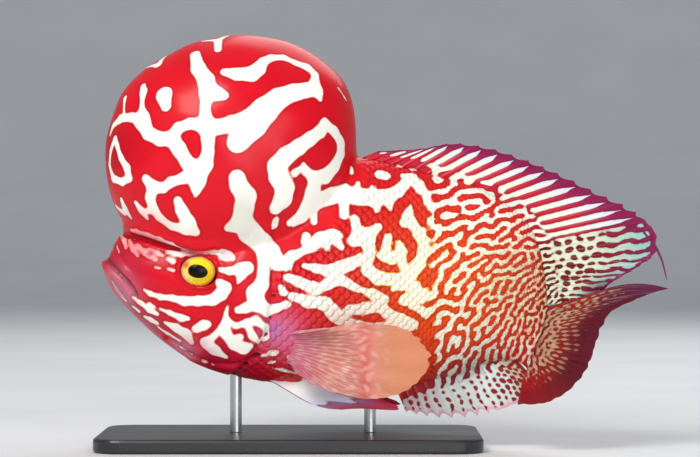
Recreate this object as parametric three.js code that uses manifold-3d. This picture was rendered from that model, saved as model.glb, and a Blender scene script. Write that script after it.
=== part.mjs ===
// A flowerhorn cichlid, an adult male with a very large nuchal hump, at life size on a plain display stand.
// Millimetres, +Z up. The fish faces -X, with its left side towards -Y. The origin is the centre of the stand's underside.
// The fish is one flesh body, parted with thin cuts into head, jaw, gill covers, hump, trunk and tail stalk.
import * as THREE from "three";
import { mergeVertices } from "three/addons/utils/BufferGeometryUtils.js";
import Module from "manifold-3d";

const wasm = await Module();
wasm.setup();

// Gap between pieces that touch.
const GAP = 0.3;

// Flesh stations from the mouth to the end of the tail stalk: the back line, the belly line and half the body's width.
const STATIONS = [
  { back: [-92.5, 94.5], belly: [-92.8, 91], half: 4 },
  { back: [-90.5, 99.5], belly: [-91.5, 83.5], half: 10.5 },
  { back: [-85, 106], belly: [-87, 75], half: 16 },
  { back: [-75, 112], belly: [-77, 64.5], half: 21 },
  { back: [-60, 117.5], belly: [-63, 52.5], half: 26 },
  { back: [-40, 124], belly: [-43, 40.5], half: 30 },
  { back: [-16, 132], belly: [-20, 33.5], half: 32 },
  { back: [10, 139.5], belly: [8, 28.5], half: 31 },
  { back: [33, 144.5], belly: [30, 24.3], half: 29 },
  { back: [55, 140.5], belly: [50, 25], half: 26 },
  { back: [74.9, 135.2], belly: [66.9, 31.7], half: 22.5 },
  { back: [94.5, 128.6], belly: [83.7, 35.6], half: 18.5 },
  { back: [108.1, 121.4], belly: [96.5, 40.5], half: 14.5 },
  { back: [117.8, 112], belly: [105.2, 42.7], half: 11.5 },
  { back: [123.5, 99.2], belly: [112, 42.8], half: 9 },
  { back: [126.6, 83.4], belly: [115.8, 40.4], half: 6.5 },
  { back: [128.2, 71.2], belly: [118.2, 37.5], half: 4.2 },
];
const LOFT_RINGS = 30;
const LOFT_SIDES = 24;

// Cross-section: how boxy the flank is, and how much the back narrows above the middle.
const FLANK_ROUND = 0.86;
const BACK_TAPER = 0.16;

// The tail swings towards -Y: the slope starts at BEND_START, is steepest at BEND_PEAK and eases off by BEND_END.
const BEND_START = 35;
const BEND_PEAK = 124;
const BEND_END = 192;
const BEND_SLOPE = 0.46;
const BEND_LAST_SLOPE = 0.16;

// The gill covers stand this much proud of the trunk at their rear edge, and are this thick.
const COVER_FLARE = 1.6;
const COVER_THICK = 3;

// Nuchal hump: centre, half width, and its radius in the middle plane at each 30 degrees from the rear, turning up.
const HUMP_X = -29;
const HUMP_Z = 151.5;
const HUMP_HALF_WIDTH = 43;
const HUMP_RADII = [63, 63.6, 57.5, 54, 53.6, 59, 63, 66.6, 70, 72, 70, 66];
const HUMP_ROUND = 32;
const HUMP_ACROSS = 14;

// Eyes, nostrils and lips.
const EYE = { x: -44.2, z: 88.2, radius: 8.8, depth: 6.4, sunk: 3.6 };
const NOSTRIL = { x: -68.5, z: 96.5, radius: 1.4 };
const MOUTH_FRONT = { x: -92.9, z: 92.6 };
const MOUTH_CORNER = { x: -74.5, z: 75.5 };
const LIP_RADIUS = 2.9;
const LIP_SIDES = 8;
const LIP_STEPS = 16;

// How deep a fin's root is sunk before the body is cut out of it, and how far the web reaches along a soft ray.
const FIN_SINK = 5;
const SOFT_NOTCH = 0.985;

// Each fin is given by key rays, [root x, root z, tip x, tip z] in the side view.
const DORSAL = {
  rays: 30,
  spines: 17,
  rows: 4,
  root: 1.5,
  crest: 0.55,
  tip: 0.27,
  notch: 0.94,
  keys: [
    [36, 144, 44, 147.5],
    [47.5, 142, 67.4, 148.9],
    [60, 139.2, 80.8, 151.3],
    [74.9, 135.2, 99.4, 148.7],
    [89.6, 130.5, 117.3, 142.5],
    [103.3, 124.2, 133, 135.5],
    [113.9, 116.2, 150.4, 126.5],
    [120.1, 107, 167, 118.2],
    [123.5, 99.2, 177.8, 109],
    [125, 92.3, 179.7, 98.3],
    [126, 86.4, 169.8, 89.6],
    [126.9, 82, 160.4, 83.7],
    [127.5, 78, 150.9, 78.3],
    [127.8, 75.1, 140.5, 75.5],
  ],
};
const ANAL = {
  rays: 17,
  spines: 8,
  rows: 4,
  root: 1.3,
  crest: 0.5,
  tip: 0.27,
  notch: 0.92,
  keys: [
    [54, 26.6, 58, 17.1],
    [60.5, 29.7, 67.4, 15.2],
    [69.9, 32.5, 77.8, 14.3],
    [79.8, 34.5, 89.6, 15.1],
    [88.7, 37.4, 99.4, 17.3],
    [95.5, 40.1, 106.7, 19.9],
    [101.4, 42, 111.5, 23],
    [105.7, 42.7, 113.4, 27.5],
    [109.1, 42.7, 113.9, 32],
    [111.5, 42.6, 113.9, 36.4],
  ],
};
const CAUDAL = {
  rays: 18,
  spines: 0,
  rows: 6,
  root: 1.7,
  crest: 0.5,
  tip: 0.27,
  curl: 20,
  keys: [
    [127.3, 69.3, 185.9, 79.9],
    [126.7, 67.2, 178.2, 76.5],
    [126, 64.8, 168.5, 71.7],
    [124.9, 60.8, 156.9, 64.9],
    [123.8, 56.9, 150.9, 57.7],
    [122.4, 52.4, 147.8, 49.1],
    [121.1, 47.9, 143.8, 40.1],
    [119.9, 44, 136.1, 30.9],
    [118.8, 40.8, 125.7, 24.4],
    [118.3, 38.8, 115.4, 22.6],
  ],
};
const PECTORAL = {
  rays: 12,
  spines: 0,
  rows: 5,
  root: 1,
  crest: 0.35,
  tip: 0.27,
  rootY: -21,
  spread: 20,
  flare: 1.7,
  keys: [
    [-3, 56.9, 35.8, 63.3],
    [-2.8, 55.4, 56.7, 60.5],
    [-2.5, 53.9, 66.8, 53.7],
    [-2.3, 51.9, 70.2, 44.1],
    [-2, 50, 64.9, 34.8],
    [-1.7, 48, 53.3, 27.4],
    [-1.4, 46, 37.8, 25.9],
    [-1.1, 44.6, 22.2, 29.3],
    [-1, 43.1, 11.5, 33.2],
  ],
};
const PELVIC = {
  rays: 6,
  spines: 1,
  rows: 6,
  root: 1.4,
  crest: 0.4,
  tip: 0.27,
  notch: 0.95,
  rootY: -8,
  spread: 9,
  flare: 1.4,
  keys: [
    [-12, 34, 28, 20],
    [-10.5, 35, 56.5, 19.5],
    [-9, 36, 51, 22.5],
    [-7.5, 37, 42, 25.5],
    [-6, 38, 32, 28],
  ],
};

// Thread-like end of the dorsal fin.
const FILAMENT_PATH = [
  [172.6, 107.1],
  [177.4, 101.2],
  [181.1, 93.5],
  [183.5, 83.8],
];
const FILAMENT_RADIUS = 0.9;

// Display stand.
const BASE = { length: 190, width: 100, height: 7, corner: 14, round: 1.4 };
const ROD_RADIUS = 3;
const ROD_LENGTH = 60;
const ROD_SIDES = 16;
const RODS = [
  { name: "stand_rod_front", x: -27 },
  { name: "stand_rod_rear", x: 40 },
];

const COLOUR = {
  flesh: new THREE.Color(0.78, 0.03, 0.06),
  cream: new THREE.Color(0.9, 0.86, 0.74),
  fin: new THREE.Color(0.5, 0.05, 0.1),
  clear_fin: new THREE.Color(0.86, 0.42, 0.34),
  eye: new THREE.Color(0.9, 0.66, 0.05),
  stand: new THREE.Color(0.12, 0.12, 0.13),
};

// Maths that the shapes share.
const mix = (a, b, t) => a + (b - a) * t;

const smooth = (t) => {
  const c = Math.min(1, Math.max(0, t));
  return c * c * (3 - 2 * c);
};

const splineOf = (points, closed = false) => new THREE.CatmullRomCurve3(points, closed, "centripetal");

// How far the body's middle plane stands off towards -Y at x. The slope is integrated in two straight ramps.
function bend(x) {
  if (x <= BEND_START) return 0;
  const rise = BEND_PEAK - BEND_START;
  const up = Math.min(x, BEND_PEAK) - BEND_START;
  let y = (BEND_SLOPE * up * up) / (2 * rise);
  if (x > BEND_PEAK) {
    const fall = BEND_END - BEND_PEAK;
    const on = Math.min(x, BEND_END) - BEND_PEAK;
    y += BEND_SLOPE * on + ((BEND_LAST_SLOPE - BEND_SLOPE) * on * on) / (2 * fall);
    y += BEND_LAST_SLOPE * Math.max(0, x - BEND_END);
  }
  return -y;
}

// Flesh surface.
const backLine = splineOf(STATIONS.map((s) => new THREE.Vector3(s.back[0], s.half, s.back[1])));
const bellyLine = splineOf(STATIONS.map((s) => new THREE.Vector3(s.belly[0], 0, s.belly[1])));

// Half the width at an angle round the section, as a share of the station's: 0 is the left flank and 90 degrees the back.
function sectionShare(angle) {
  const c = Math.cos(angle);
  const s = Math.sin(angle);
  return Math.sign(c) * Math.abs(c) ** FLANK_ROUND * (1 - BACK_TAPER * Math.max(0, s));
}

function fleshPoint(t, angle, { grow = 0, wider = 0 } = {}) {
  const top = backLine.getPoint(t);
  const bottom = bellyLine.getPoint(t);
  const half = top.y;
  const up = new THREE.Vector3(top.x - bottom.x, 0, top.z - bottom.z);
  const tall = up.length() / 2;
  up.normalize();
  const centre = new THREE.Vector3((top.x + bottom.x) / 2, 0, (top.z + bottom.z) / 2);
  const p = centre.addScaledVector(up, (tall + grow) * Math.sin(angle));
  p.y = -(half + grow + wider) * sectionShare(angle) + bend(p.x);
  return p;
}

// The left flank's y at a place in the side view, found by stepping along the sections.
function flankY(x, z) {
  let t = 0.5;
  let angle = 0;
  for (let i = 0; i < 60; i++) {
    const p = fleshPoint(t, angle);
    const ahead = fleshPoint(t + 0.01, angle);
    t += (0.008 * (x - p.x)) / Math.max(ahead.x - p.x, 0.2);
    t = Math.min(0.99, Math.max(0.005, t));
    const q = fleshPoint(t, angle);
    const tall = (backLine.getPoint(t).z - bellyLine.getPoint(t).z) / 2;
    angle += ((z - q.z) / tall) * 0.7;
    angle = Math.min(1.4, Math.max(-1.4, angle));
  }
  return fleshPoint(t, angle).y;
}

// Solids from points.
function toSolid(positions, triangles) {
  const geometry = new THREE.BufferGeometry();
  geometry.setAttribute("position", new THREE.BufferAttribute(new Float32Array(positions), 3));
  geometry.setIndex(triangles);
  return fromGeometry(geometry);
}

function fromGeometry(geometry) {
  const bare = geometry.clone();
  bare.deleteAttribute("normal");
  bare.deleteAttribute("uv");
  const merged = mergeVertices(bare, 1e-4);
  const vertProperties = merged.attributes.position.array;
  const triVerts = new Uint32Array(merged.index.array);
  return new wasm.Manifold(new wasm.Mesh({ numProp: 3, vertProperties, triVerts }));
}

// A closed body from rings of points, with a fan over each end.
function ringSolid(rings) {
  const sides = rings[0].length;
  const positions = rings.flat().flatMap((p) => [p.x, p.y, p.z]);
  const triangles = [];
  for (let i = 0; i + 1 < rings.length; i++)
    for (let j = 0; j < sides; j++) {
      const a = i * sides + j;
      const b = i * sides + ((j + 1) % sides);
      triangles.push(a, b, b + sides, a, b + sides, a + sides);
    }
  for (const [ring, order] of [
    [0, 1],
    [rings.length - 1, -1],
  ]) {
    const middle = rings[ring].reduce((m, p) => m.add(p), new THREE.Vector3()).divideScalar(sides);
    const hub = positions.length / 3;
    positions.push(middle.x, middle.y, middle.z);
    for (let j = 0; j < sides; j++) {
      const a = ring * sides + j;
      const b = ring * sides + ((j + 1) % sides);
      triangles.push(...(order > 0 ? [hub, b, a] : [hub, a, b]));
    }
  }
  return outward(toSolid(positions, triangles), positions, triangles);
}

// The same solid with its faces turned out, whichever way its rings run.
function outward(solid, positions, triangles) {
  if (solid.volume() > 0) return solid;
  const turned = [];
  for (let i = 0; i < triangles.length; i += 3)
    turned.push(triangles[i], triangles[i + 2], triangles[i + 1]);
  return toSolid(positions, turned);
}

function fleshSolid(change = {}) {
  const rings = [];
  for (let i = 0; i <= LOFT_RINGS; i++) {
    const t = i / LOFT_RINGS;
    const ring = [];
    for (let j = 0; j < LOFT_SIDES; j++)
      ring.push(fleshPoint(t, (2 * Math.PI * j) / LOFT_SIDES, change));
    rings.push(ring);
  }
  const grow = change.grow ?? 0;
  for (const p of rings[0]) p.x -= grow;
  for (const p of rings[LOFT_RINGS]) p.x += grow;
  return ringSolid(rings);
}

// An outline in the side view, carried straight through the fish from y0 to y1.
function sideRegion(points, y0, y1, shiftX = 0, shiftZ = 0) {
  const shape = new THREE.Shape(points.map(([x, z]) => new THREE.Vector2(x + shiftX, z + shiftZ)));
  const geometry = new THREE.ExtrudeGeometry(shape, { depth: y1 - y0, bevelEnabled: false, curveSegments: 1 });
  geometry.rotateX(Math.PI / 2);
  geometry.translate(0, y1, 0);
  return fromGeometry(geometry);
}

// An outline that runs anticlockwise, moved outwards by a distance, corner by corner.
function outset(points, distance) {
  return points.map(([x, z], i) => {
    const before = points[(i + points.length - 1) % points.length];
    const after = points[(i + 1) % points.length];
    const along = new THREE.Vector2(after[0] - before[0], after[1] - before[1]).normalize();
    return [x + distance * along.y, z - distance * along.x];
  });
}

// Points along a smooth curve through the given ones.
function traced(points, steps) {
  const curve = splineOf(points.map(([x, z]) => new THREE.Vector3(x, 0, z)));
  return curve.getPoints(steps).map((p) => [p.x, p.z]);
}

// Fins.
// The middle surface of a fin: column 2k is ray k and column 2k + 1 the web behind it.
function finGrid(fin, sideways) {
  const roots = splineOf(fin.keys.map((k) => new THREE.Vector3(k[0], 0, k[1])));
  const tips = splineOf(fin.keys.map((k) => new THREE.Vector3(k[2], 0, k[3])));
  const columns = 2 * fin.rays - 1;
  const grid = [];
  for (let i = 0; i < columns; i++) {
    const u = i / (columns - 1);
    const root = roots.getPoint(u);
    const tip = tips.getPoint(u);
    const notch = i / 2 < fin.spines ? fin.notch : SOFT_NOTCH;
    if (i % 2 === 1) tip.lerpVectors(root, tip, notch);
    const along = tip.clone().sub(root);
    const start = -FIN_SINK / along.length();
    const column = [];
    for (let j = 0; j <= fin.rows; j++) {
      const v = mix(start, 1, j / fin.rows);
      const p = root.clone().addScaledVector(along, v);
      p.y = sideways(p, u, Math.max(0, v));
      column.push(p);
    }
    grid.push(column);
  }
  return grid;
}

// A closed plate round a middle surface, split into triangles alike on both faces.
function plateSolid(grid, halfThick) {
  const columns = grid.length;
  const rows = grid[0].length;
  const faces = [[], []];
  grid.forEach((column, i) =>
    column.forEach((p, j) => {
      const across = grid[Math.min(i + 1, columns - 1)][j].clone().sub(grid[Math.max(i - 1, 0)][j]);
      const out = column[Math.min(j + 1, rows - 1)].clone().sub(column[Math.max(j - 1, 0)]);
      const normal = across.cross(out).normalize();
      const h = halfThick(i, j / (rows - 1));
      faces[0].push(p.clone().addScaledVector(normal, h));
      faces[1].push(p.clone().addScaledVector(normal, -h));
    }),
  );
  const positions = faces.flat().flatMap((p) => [p.x, p.y, p.z]);
  const far = columns * rows;
  const at = (i, j) => i * rows + j;
  const triangles = [];
  for (let i = 0; i + 1 < columns; i++)
    for (let j = 0; j + 1 < rows; j++) {
      const [a, b, c, d] = [at(i, j), at(i + 1, j), at(i + 1, j + 1), at(i, j + 1)];
      triangles.push(a, b, c, a, c, d);
      triangles.push(far + a, far + c, far + b, far + a, far + d, far + c);
    }
  const edge = [];
  for (let i = 0; i < columns - 1; i++) edge.push(at(i, 0));
  for (let j = 0; j < rows - 1; j++) edge.push(at(columns - 1, j));
  for (let i = columns - 1; i > 0; i--) edge.push(at(i, rows - 1));
  for (let j = rows - 1; j > 0; j--) edge.push(at(0, j));
  edge.forEach((a, k) => {
    const b = edge[(k + 1) % edge.length];
    triangles.push(b, a, far + a, b, far + a, far + b);
  });
  return outward(toSolid(positions, triangles), positions, triangles);
}

// Half the thickness: rays stand proud of the web, and all thins towards the edge.
function finThickness(fin) {
  return (column, v) => {
    const web = mix(fin.root, fin.tip, smooth(v * 1.15));
    return column % 2 === 0 ? web + fin.crest * (1 - 0.75 * v) : web;
  };
}

function finSolid(fin, sideways) {
  return plateSolid(finGrid(fin, sideways), finThickness(fin));
}

// A round tapered rod along a curve, from radius r0 to r1.
function taperedRod(curve, r0, r1, sides, steps, flatten = 1) {
  const rings = [];
  const frames = curve.computeFrenetFrames(steps, false);
  for (let i = 0; i <= steps; i++) {
    const t = i / steps;
    const middle = curve.getPointAt(t);
    const r = mix(r0, r1, t);
    const ring = [];
    for (let j = 0; j < sides; j++) {
      const a = (2 * Math.PI * j) / sides;
      const p = middle.clone();
      p.addScaledVector(frames.normals[i], r * Math.cos(a));
      p.addScaledVector(frames.binormals[i], r * flatten * Math.sin(a));
      ring.push(p);
    }
    rings.push(ring);
  }
  return ringSolid(rings);
}

// The other side's copy of a solid, mirrored in the bent middle plane.
function mirrored(solid) {
  const mesh = solid.getMesh();
  const n = mesh.numProp;
  const positions = [];
  for (let i = 0; i < mesh.numVert; i++) {
    const [x, y, z] = mesh.vertProperties.subarray(i * n, i * n + 3);
    positions.push(x, 2 * bend(x) - y, z);
  }
  const triangles = [];
  for (let i = 0; i < mesh.triVerts.length; i += 3)
    triangles.push(mesh.triVerts[i], mesh.triVerts[i + 2], mesh.triVerts[i + 1]);
  return toSolid(positions, triangles);
}

const largest = (solid) => solid.decompose().reduce((a, b) => (a.volume() > b.volume() ? a : b));

// Hump.
const humpRing = splineOf(
  HUMP_RADII.map((r, i) => {
    const a = (2 * Math.PI * i) / HUMP_RADII.length;
    return new THREE.Vector3(r * Math.cos(a), 0, r * Math.sin(a));
  }),
  true,
);

function humpSolid(grow = 0) {
  const rings = [];
  for (let i = 1; i < HUMP_ACROSS; i++) {
    const across = (Math.PI * i) / HUMP_ACROSS;
    const ring = [];
    for (let j = 0; j < HUMP_ROUND; j++) {
      const p = humpRing.getPoint(j / HUMP_ROUND);
      const size = Math.sin(across) * (1 + grow / p.length());
      ring.push(
        new THREE.Vector3(HUMP_X + p.x * size, -(HUMP_HALF_WIDTH + grow) * Math.cos(across), HUMP_Z + p.z * size),
      );
    }
    rings.push(ring);
  }
  return ringSolid(rings);
}

// Eye, a flattened ball set in the side of the head.
const eyeY = flankY(EYE.x, EYE.z) + EYE.sunk;

function eyeSolid(grow = 0) {
  const ball = new THREE.SphereGeometry(1, 18, 11);
  ball.scale(EYE.radius + grow, EYE.depth + grow, EYE.radius * 0.92 + grow);
  ball.translate(EYE.x, eyeY, EYE.z);
  return fromGeometry(ball);
}

// A raised rim of skin round the eye.
function eyeRim() {
  const rim = new THREE.TorusGeometry(EYE.radius + 0.6, 1.5, 6, 20);
  rim.rotateX(Math.PI / 2);
  rim.scale(1, 1, 0.92);
  rim.translate(EYE.x, flankY(EYE.x, EYE.z) + 0.6, EYE.z);
  return fromGeometry(rim);
}

// A lip, from the left corner of the mouth round the front to the right corner.
function lipSolid(rise) {
  const points = [];
  const places = 12;
  for (let i = 0; i <= places; i++) {
    const side = (2 * i) / places - 1;
    const back = Math.abs(side) ** 1.7;
    const x = mix(MOUTH_FRONT.x, MOUTH_CORNER.x, back);
    const z = mix(MOUTH_FRONT.z, MOUTH_CORNER.z, back) + rise;
    const cheek = -flankY(Math.max(x, MOUTH_FRONT.x + 1.5), z);
    points.push(new THREE.Vector3(x + 1.2, side * Math.abs(cheek) * 0.985, z));
  }
  const curve = splineOf(points);
  const rings = [];
  const up = new THREE.Vector3(0.7, 0, 0.72).normalize();
  for (let i = 0; i <= LIP_STEPS; i++) {
    const t = i / LIP_STEPS;
    const middle = curve.getPointAt(t);
    const along = curve.getTangentAt(t);
    const out = along.clone().cross(up).normalize();
    const over = out.clone().cross(along).normalize();
    const r = LIP_RADIUS * (0.45 + 0.55 * Math.sin(Math.PI * t) ** 0.7);
    const ring = [];
    for (let j = 0; j < LIP_SIDES; j++) {
      const a = (2 * Math.PI * j) / LIP_SIDES;
      ring.push(
        middle
          .clone()
          .addScaledVector(out, r * Math.cos(a))
          .addScaledVector(over, r * 0.9 * Math.sin(a)),
      );
    }
    rings.push(ring);
  }
  return ringSolid(rings);
}

// Parting the flesh.
const flesh = fleshSolid();
const fleshGrown = fleshSolid({ grow: GAP });
const headFlesh = fleshSolid({ wider: COVER_FLARE });
const headGrown = fleshSolid({ wider: COVER_FLARE, grow: GAP });
const underCover = fleshSolid({ wider: COVER_FLARE - COVER_THICK });
const underCoverGap = fleshSolid({ wider: COVER_FLARE - COVER_THICK - GAP });

const REACH = 70;
const COVER_INNER = 8;
const gillEdge = traced(
  [
    [-8, 195],
    [-8, 113],
    [-11, 99],
    [-10, 79],
    [-11.5, 61],
    [-18, 48],
    [-30, 37.5],
    [-44, 31],
    [-52, 15],
  ],
  18,
);
const headOutline = [...gillEdge, [-130, 15], [-130, 195]];
const headRegion = sideRegion(headOutline, -REACH, REACH);
const headRegionGrown = sideRegion(headOutline, -REACH, REACH, GAP, -GAP);

const jawOutline = [
  [-120, 93.6],
  [MOUTH_FRONT.x, 93.2],
  [-84, 85.5],
  [MOUTH_CORNER.x, MOUTH_CORNER.z],
  [-68, 61],
  [-56, 35],
  [-120, 35],
];
const jawRegion = sideRegion(jawOutline, -REACH, REACH);
const jawRegionGrown = sideRegion(jawOutline, -REACH, REACH, GAP, GAP);

const coverOutline = traced(
  [
    [-20, 103],
    [-27, 93],
    [-29, 79],
    [-31, 65],
    [-38, 53],
    [-50, 46],
    [-47, 39],
    [-36, 37],
    [-24, 44],
    [-15, 54],
    [-9, 67],
    [-4, 83],
    [-4, 99],
    [-12, 104],
  ],
  26,
);
const coverLeft = sideRegion(coverOutline, -REACH, -COVER_INNER);
const coverRight = sideRegion(coverOutline, COVER_INNER, REACH);
const grownOutline = outset(coverOutline, GAP);

const stalkOutline = [
  [101, -5],
  [112, 195],
  [240, 195],
  [240, -5],
];
const stalkRegion = sideRegion(stalkOutline, -150, REACH);
const stalkRegionGrown = sideRegion(stalkOutline, -150, REACH, -GAP, 0);

const lips = { upper: lipSolid(2.6), lower: lipSolid(-2.6) };
const bothEyes = (grow) => {
  const left = eyeSolid(grow);
  return left.add(mirrored(left));
};
const rims = eyeRim().add(mirrored(eyeRim()));
const nostril = new THREE.SphereGeometry(NOSTRIL.radius, 10, 8);
nostril.scale(1.3, 1.6, 1);
nostril.translate(NOSTRIL.x, flankY(NOSTRIL.x, NOSTRIL.z) - COVER_FLARE, NOSTRIL.z);
const nostrils = fromGeometry(nostril).add(mirrored(fromGeometry(nostril)));

const headWhole = headFlesh.intersect(headRegion).add(lips.upper).add(rims);
const coverSpace = (y0, y1) => sideRegion(grownOutline, y0, y1).subtract(underCoverGap);
const head = largest(
  headWhole
    .subtract(jawRegionGrown)
    .subtract(coverSpace(-REACH, -COVER_INNER + GAP))
    .subtract(coverSpace(COVER_INNER - GAP, REACH))
    .subtract(bothEyes(GAP))
    .subtract(nostrils),
);
const jaw = largest(headFlesh.intersect(jawRegion).add(lips.lower.intersect(jawRegion)));
const coverPlate = (region) =>
  largest(headFlesh.intersect(headRegion).intersect(region).subtract(underCover));
const trunkWhole = flesh.subtract(headRegionGrown);
const trunk = largest(trunkWhole.subtract(stalkRegionGrown));
const stalk = largest(flesh.intersect(stalkRegion));
const bodyGrown = fleshGrown.add(headGrown.intersect(headRegionGrown));
const hump = largest(humpSolid().subtract(bodyGrown));

// Fins, with the flesh and its gap cut out of their roots.
const allFleshGrown = bodyGrown.add(humpSolid(GAP));
const rooted = (fin) => largest(fin.subtract(allFleshGrown));

const middlePlane = (p) => bend(p.x);
const filament = taperedRod(
  splineOf(FILAMENT_PATH.map(([x, z]) => new THREE.Vector3(x, bend(x), z))),
  FILAMENT_RADIUS,
  0.3,
  6,
  8,
);
const dorsal = rooted(finSolid(DORSAL, middlePlane).add(filament));
const anal = rooted(finSolid(ANAL, middlePlane));
const caudal = rooted(
  finSolid(CAUDAL, (p, u, v) => bend(p.x) - CAUDAL.curl * smooth(u * 1.1) * v * v),
);
const sidewaysOf = (fin) => (p, u, v) => bend(p.x) + fin.rootY - fin.spread * smooth(v * fin.flare);
const pectoralPlate = finSolid(PECTORAL, sidewaysOf(PECTORAL));
const pelvicPlate = finSolid(PELVIC, sidewaysOf(PELVIC));

// Stand.
function baseSolid() {
  const { length, width, height, corner, round } = BASE;
  const shape = new THREE.Shape();
  const [hx, hy] = [length / 2 - round, width / 2 - round];
  const r = corner - round;
  shape.moveTo(-hx + r, -hy);
  shape.lineTo(hx - r, -hy);
  shape.absarc(hx - r, -hy + r, r, -Math.PI / 2, 0);
  shape.absarc(hx - r, hy - r, r, 0, Math.PI / 2);
  shape.absarc(-hx + r, hy - r, r, Math.PI / 2, Math.PI);
  shape.absarc(-hx + r, -hy + r, r, Math.PI, 1.5 * Math.PI);
  const geometry = new THREE.ExtrudeGeometry(shape, {
    depth: height - 2 * round,
    bevelThickness: round,
    bevelSize: round,
    bevelSegments: 2,
    curveSegments: 5,
  });
  geometry.translate(0, 0, round);
  return fromGeometry(geometry);
}

function rodSolid(x) {
  const rod = new THREE.CylinderGeometry(ROD_RADIUS, ROD_RADIUS, ROD_LENGTH, ROD_SIDES);
  rod.rotateX(Math.PI / 2);
  rod.translate(x, 0, BASE.height + GAP + ROD_LENGTH / 2);
  return largest(fromGeometry(rod).subtract(allFleshGrown));
}

// The finished group.
const fish = new THREE.Group();

function addNode(name, solid, material) {
  const mesh = solid.getMesh();
  const n = mesh.numProp;
  const positions = new Float32Array(mesh.numVert * 3);
  for (let i = 0; i < mesh.numVert; i++) positions.set(mesh.vertProperties.subarray(i * n, i * n + 3), i * 3);
  const geometry = new THREE.BufferGeometry();
  geometry.setAttribute("position", new THREE.BufferAttribute(positions, 3));
  geometry.setIndex(new THREE.BufferAttribute(mesh.triVerts, 1));
  geometry.computeVertexNormals();
  const made = new THREE.Mesh(geometry, material);
  made.name = name;
  fish.add(made);
}

const skin = new THREE.MeshStandardMaterial({ color: COLOUR.flesh, roughness: 0.35, metalness: 0 });
const covers = new THREE.MeshStandardMaterial({ color: COLOUR.cream, roughness: 0.35, metalness: 0 });
const rayed = new THREE.MeshStandardMaterial({ color: COLOUR.fin, roughness: 0.45, metalness: 0 });
const clear = new THREE.MeshStandardMaterial({ color: COLOUR.clear_fin, roughness: 0.4, metalness: 0 });
const eyes = new THREE.MeshStandardMaterial({ color: COLOUR.eye, roughness: 0.1, metalness: 0 });
const stand = new THREE.MeshStandardMaterial({ color: COLOUR.stand, roughness: 0.4, metalness: 0.2 });

addNode("head", head, skin);
addNode("jaw", jaw, skin);
addNode("hump", hump, skin);
addNode("gill_cover_left", coverPlate(coverLeft), covers);
addNode("gill_cover_right", coverPlate(coverRight), covers);
addNode("trunk", trunk, skin);
addNode("tail_stalk", stalk, skin);
addNode("eye_left", eyeSolid(), eyes);
addNode("eye_right", mirrored(eyeSolid()), eyes);
addNode("fin_dorsal", dorsal, rayed);
addNode("fin_anal", anal, rayed);
addNode("fin_caudal", caudal, rayed);
addNode("fin_pectoral_left", rooted(pectoralPlate), clear);
addNode("fin_pectoral_right", rooted(mirrored(pectoralPlate)), clear);
addNode("fin_pelvic_left", rooted(pelvicPlate), rayed);
addNode("fin_pelvic_right", rooted(mirrored(pelvicPlate)), rayed);
addNode("stand_base", baseSolid(), stand);
for (const rod of RODS) addNode(rod.name, rodSolid(rod.x), stand);

export default fish;
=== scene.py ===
import math

import bpy
import numpy as np
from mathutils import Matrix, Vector
from mathutils.bvhtree import BVHTree


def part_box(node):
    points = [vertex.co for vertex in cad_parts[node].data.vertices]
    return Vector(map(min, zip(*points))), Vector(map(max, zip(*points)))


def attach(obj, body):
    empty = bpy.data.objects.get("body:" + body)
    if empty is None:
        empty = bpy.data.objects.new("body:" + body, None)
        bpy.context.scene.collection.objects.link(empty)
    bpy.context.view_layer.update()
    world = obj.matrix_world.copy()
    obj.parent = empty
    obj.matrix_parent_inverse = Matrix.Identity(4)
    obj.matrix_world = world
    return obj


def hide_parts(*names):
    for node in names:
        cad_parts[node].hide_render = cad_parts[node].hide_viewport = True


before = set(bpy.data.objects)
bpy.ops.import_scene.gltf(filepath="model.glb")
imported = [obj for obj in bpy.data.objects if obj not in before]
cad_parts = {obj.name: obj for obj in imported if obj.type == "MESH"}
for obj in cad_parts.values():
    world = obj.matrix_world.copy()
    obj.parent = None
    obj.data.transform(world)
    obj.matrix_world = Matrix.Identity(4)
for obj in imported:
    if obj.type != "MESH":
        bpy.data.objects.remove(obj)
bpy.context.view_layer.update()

# Sizes are written in millimetres, as the solids are, and turned into metres where a mesh is made.
MM = 0.001

# The camera stands level with the fish, at its left side. One picture pixel is half a millimetre at the middle plane,
# and the frame's origin shows at ORIGIN_AT in the picture.
PIXEL = 0.5
IMAGE = (700, 457)
ORIGIN_AT = (290, 446)
CAMERA_AT = (30.0, -1300.0, 108.75)
SENSOR = 36.0

FLESH = ("head", "jaw", "hump", "gill_cover_left", "gill_cover_right", "trunk", "tail_stalk")

# Flesh stations from the mouth to the tail stalk: back x, back z, belly x, belly z and half the width.
STATIONS = (
    (-92.5, 94.5, -92.8, 91, 4),
    (-90.5, 99.5, -91.5, 83.5, 10.5),
    (-85, 106, -87, 75, 16),
    (-75, 112, -77, 64.5, 21),
    (-60, 117.5, -63, 52.5, 26),
    (-40, 124, -43, 40.5, 30),
    (-16, 132, -20, 33.5, 32),
    (10, 139.5, 8, 28.5, 31),
    (33, 144.5, 30, 24.3, 29),
    (55, 140.5, 50, 25, 26),
    (74.8, 135.2, 66.8, 31.8, 22.5),
    (94.5, 128.6, 83.6, 35.7, 18.5),
    (108.1, 121.3, 96.3, 40.7, 14.5),
    (117.8, 112, 104.9, 42.9, 11.5),
    (123.5, 99.2, 111.7, 42.9, 9),
    (126.6, 83.4, 115.5, 40.6, 6.5),
    (128.2, 71.2, 117.9, 37.7, 4.2),
)
FLANK_ROUND = 0.86
BACK_TAPER = 0.16

# The tail swings towards the camera.
BEND_START = 35.0
BEND_PEAK = 124.0
BEND_END = 192.0
BEND_SLOPE = 0.46
BEND_LAST_SLOPE = 0.16

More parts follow.
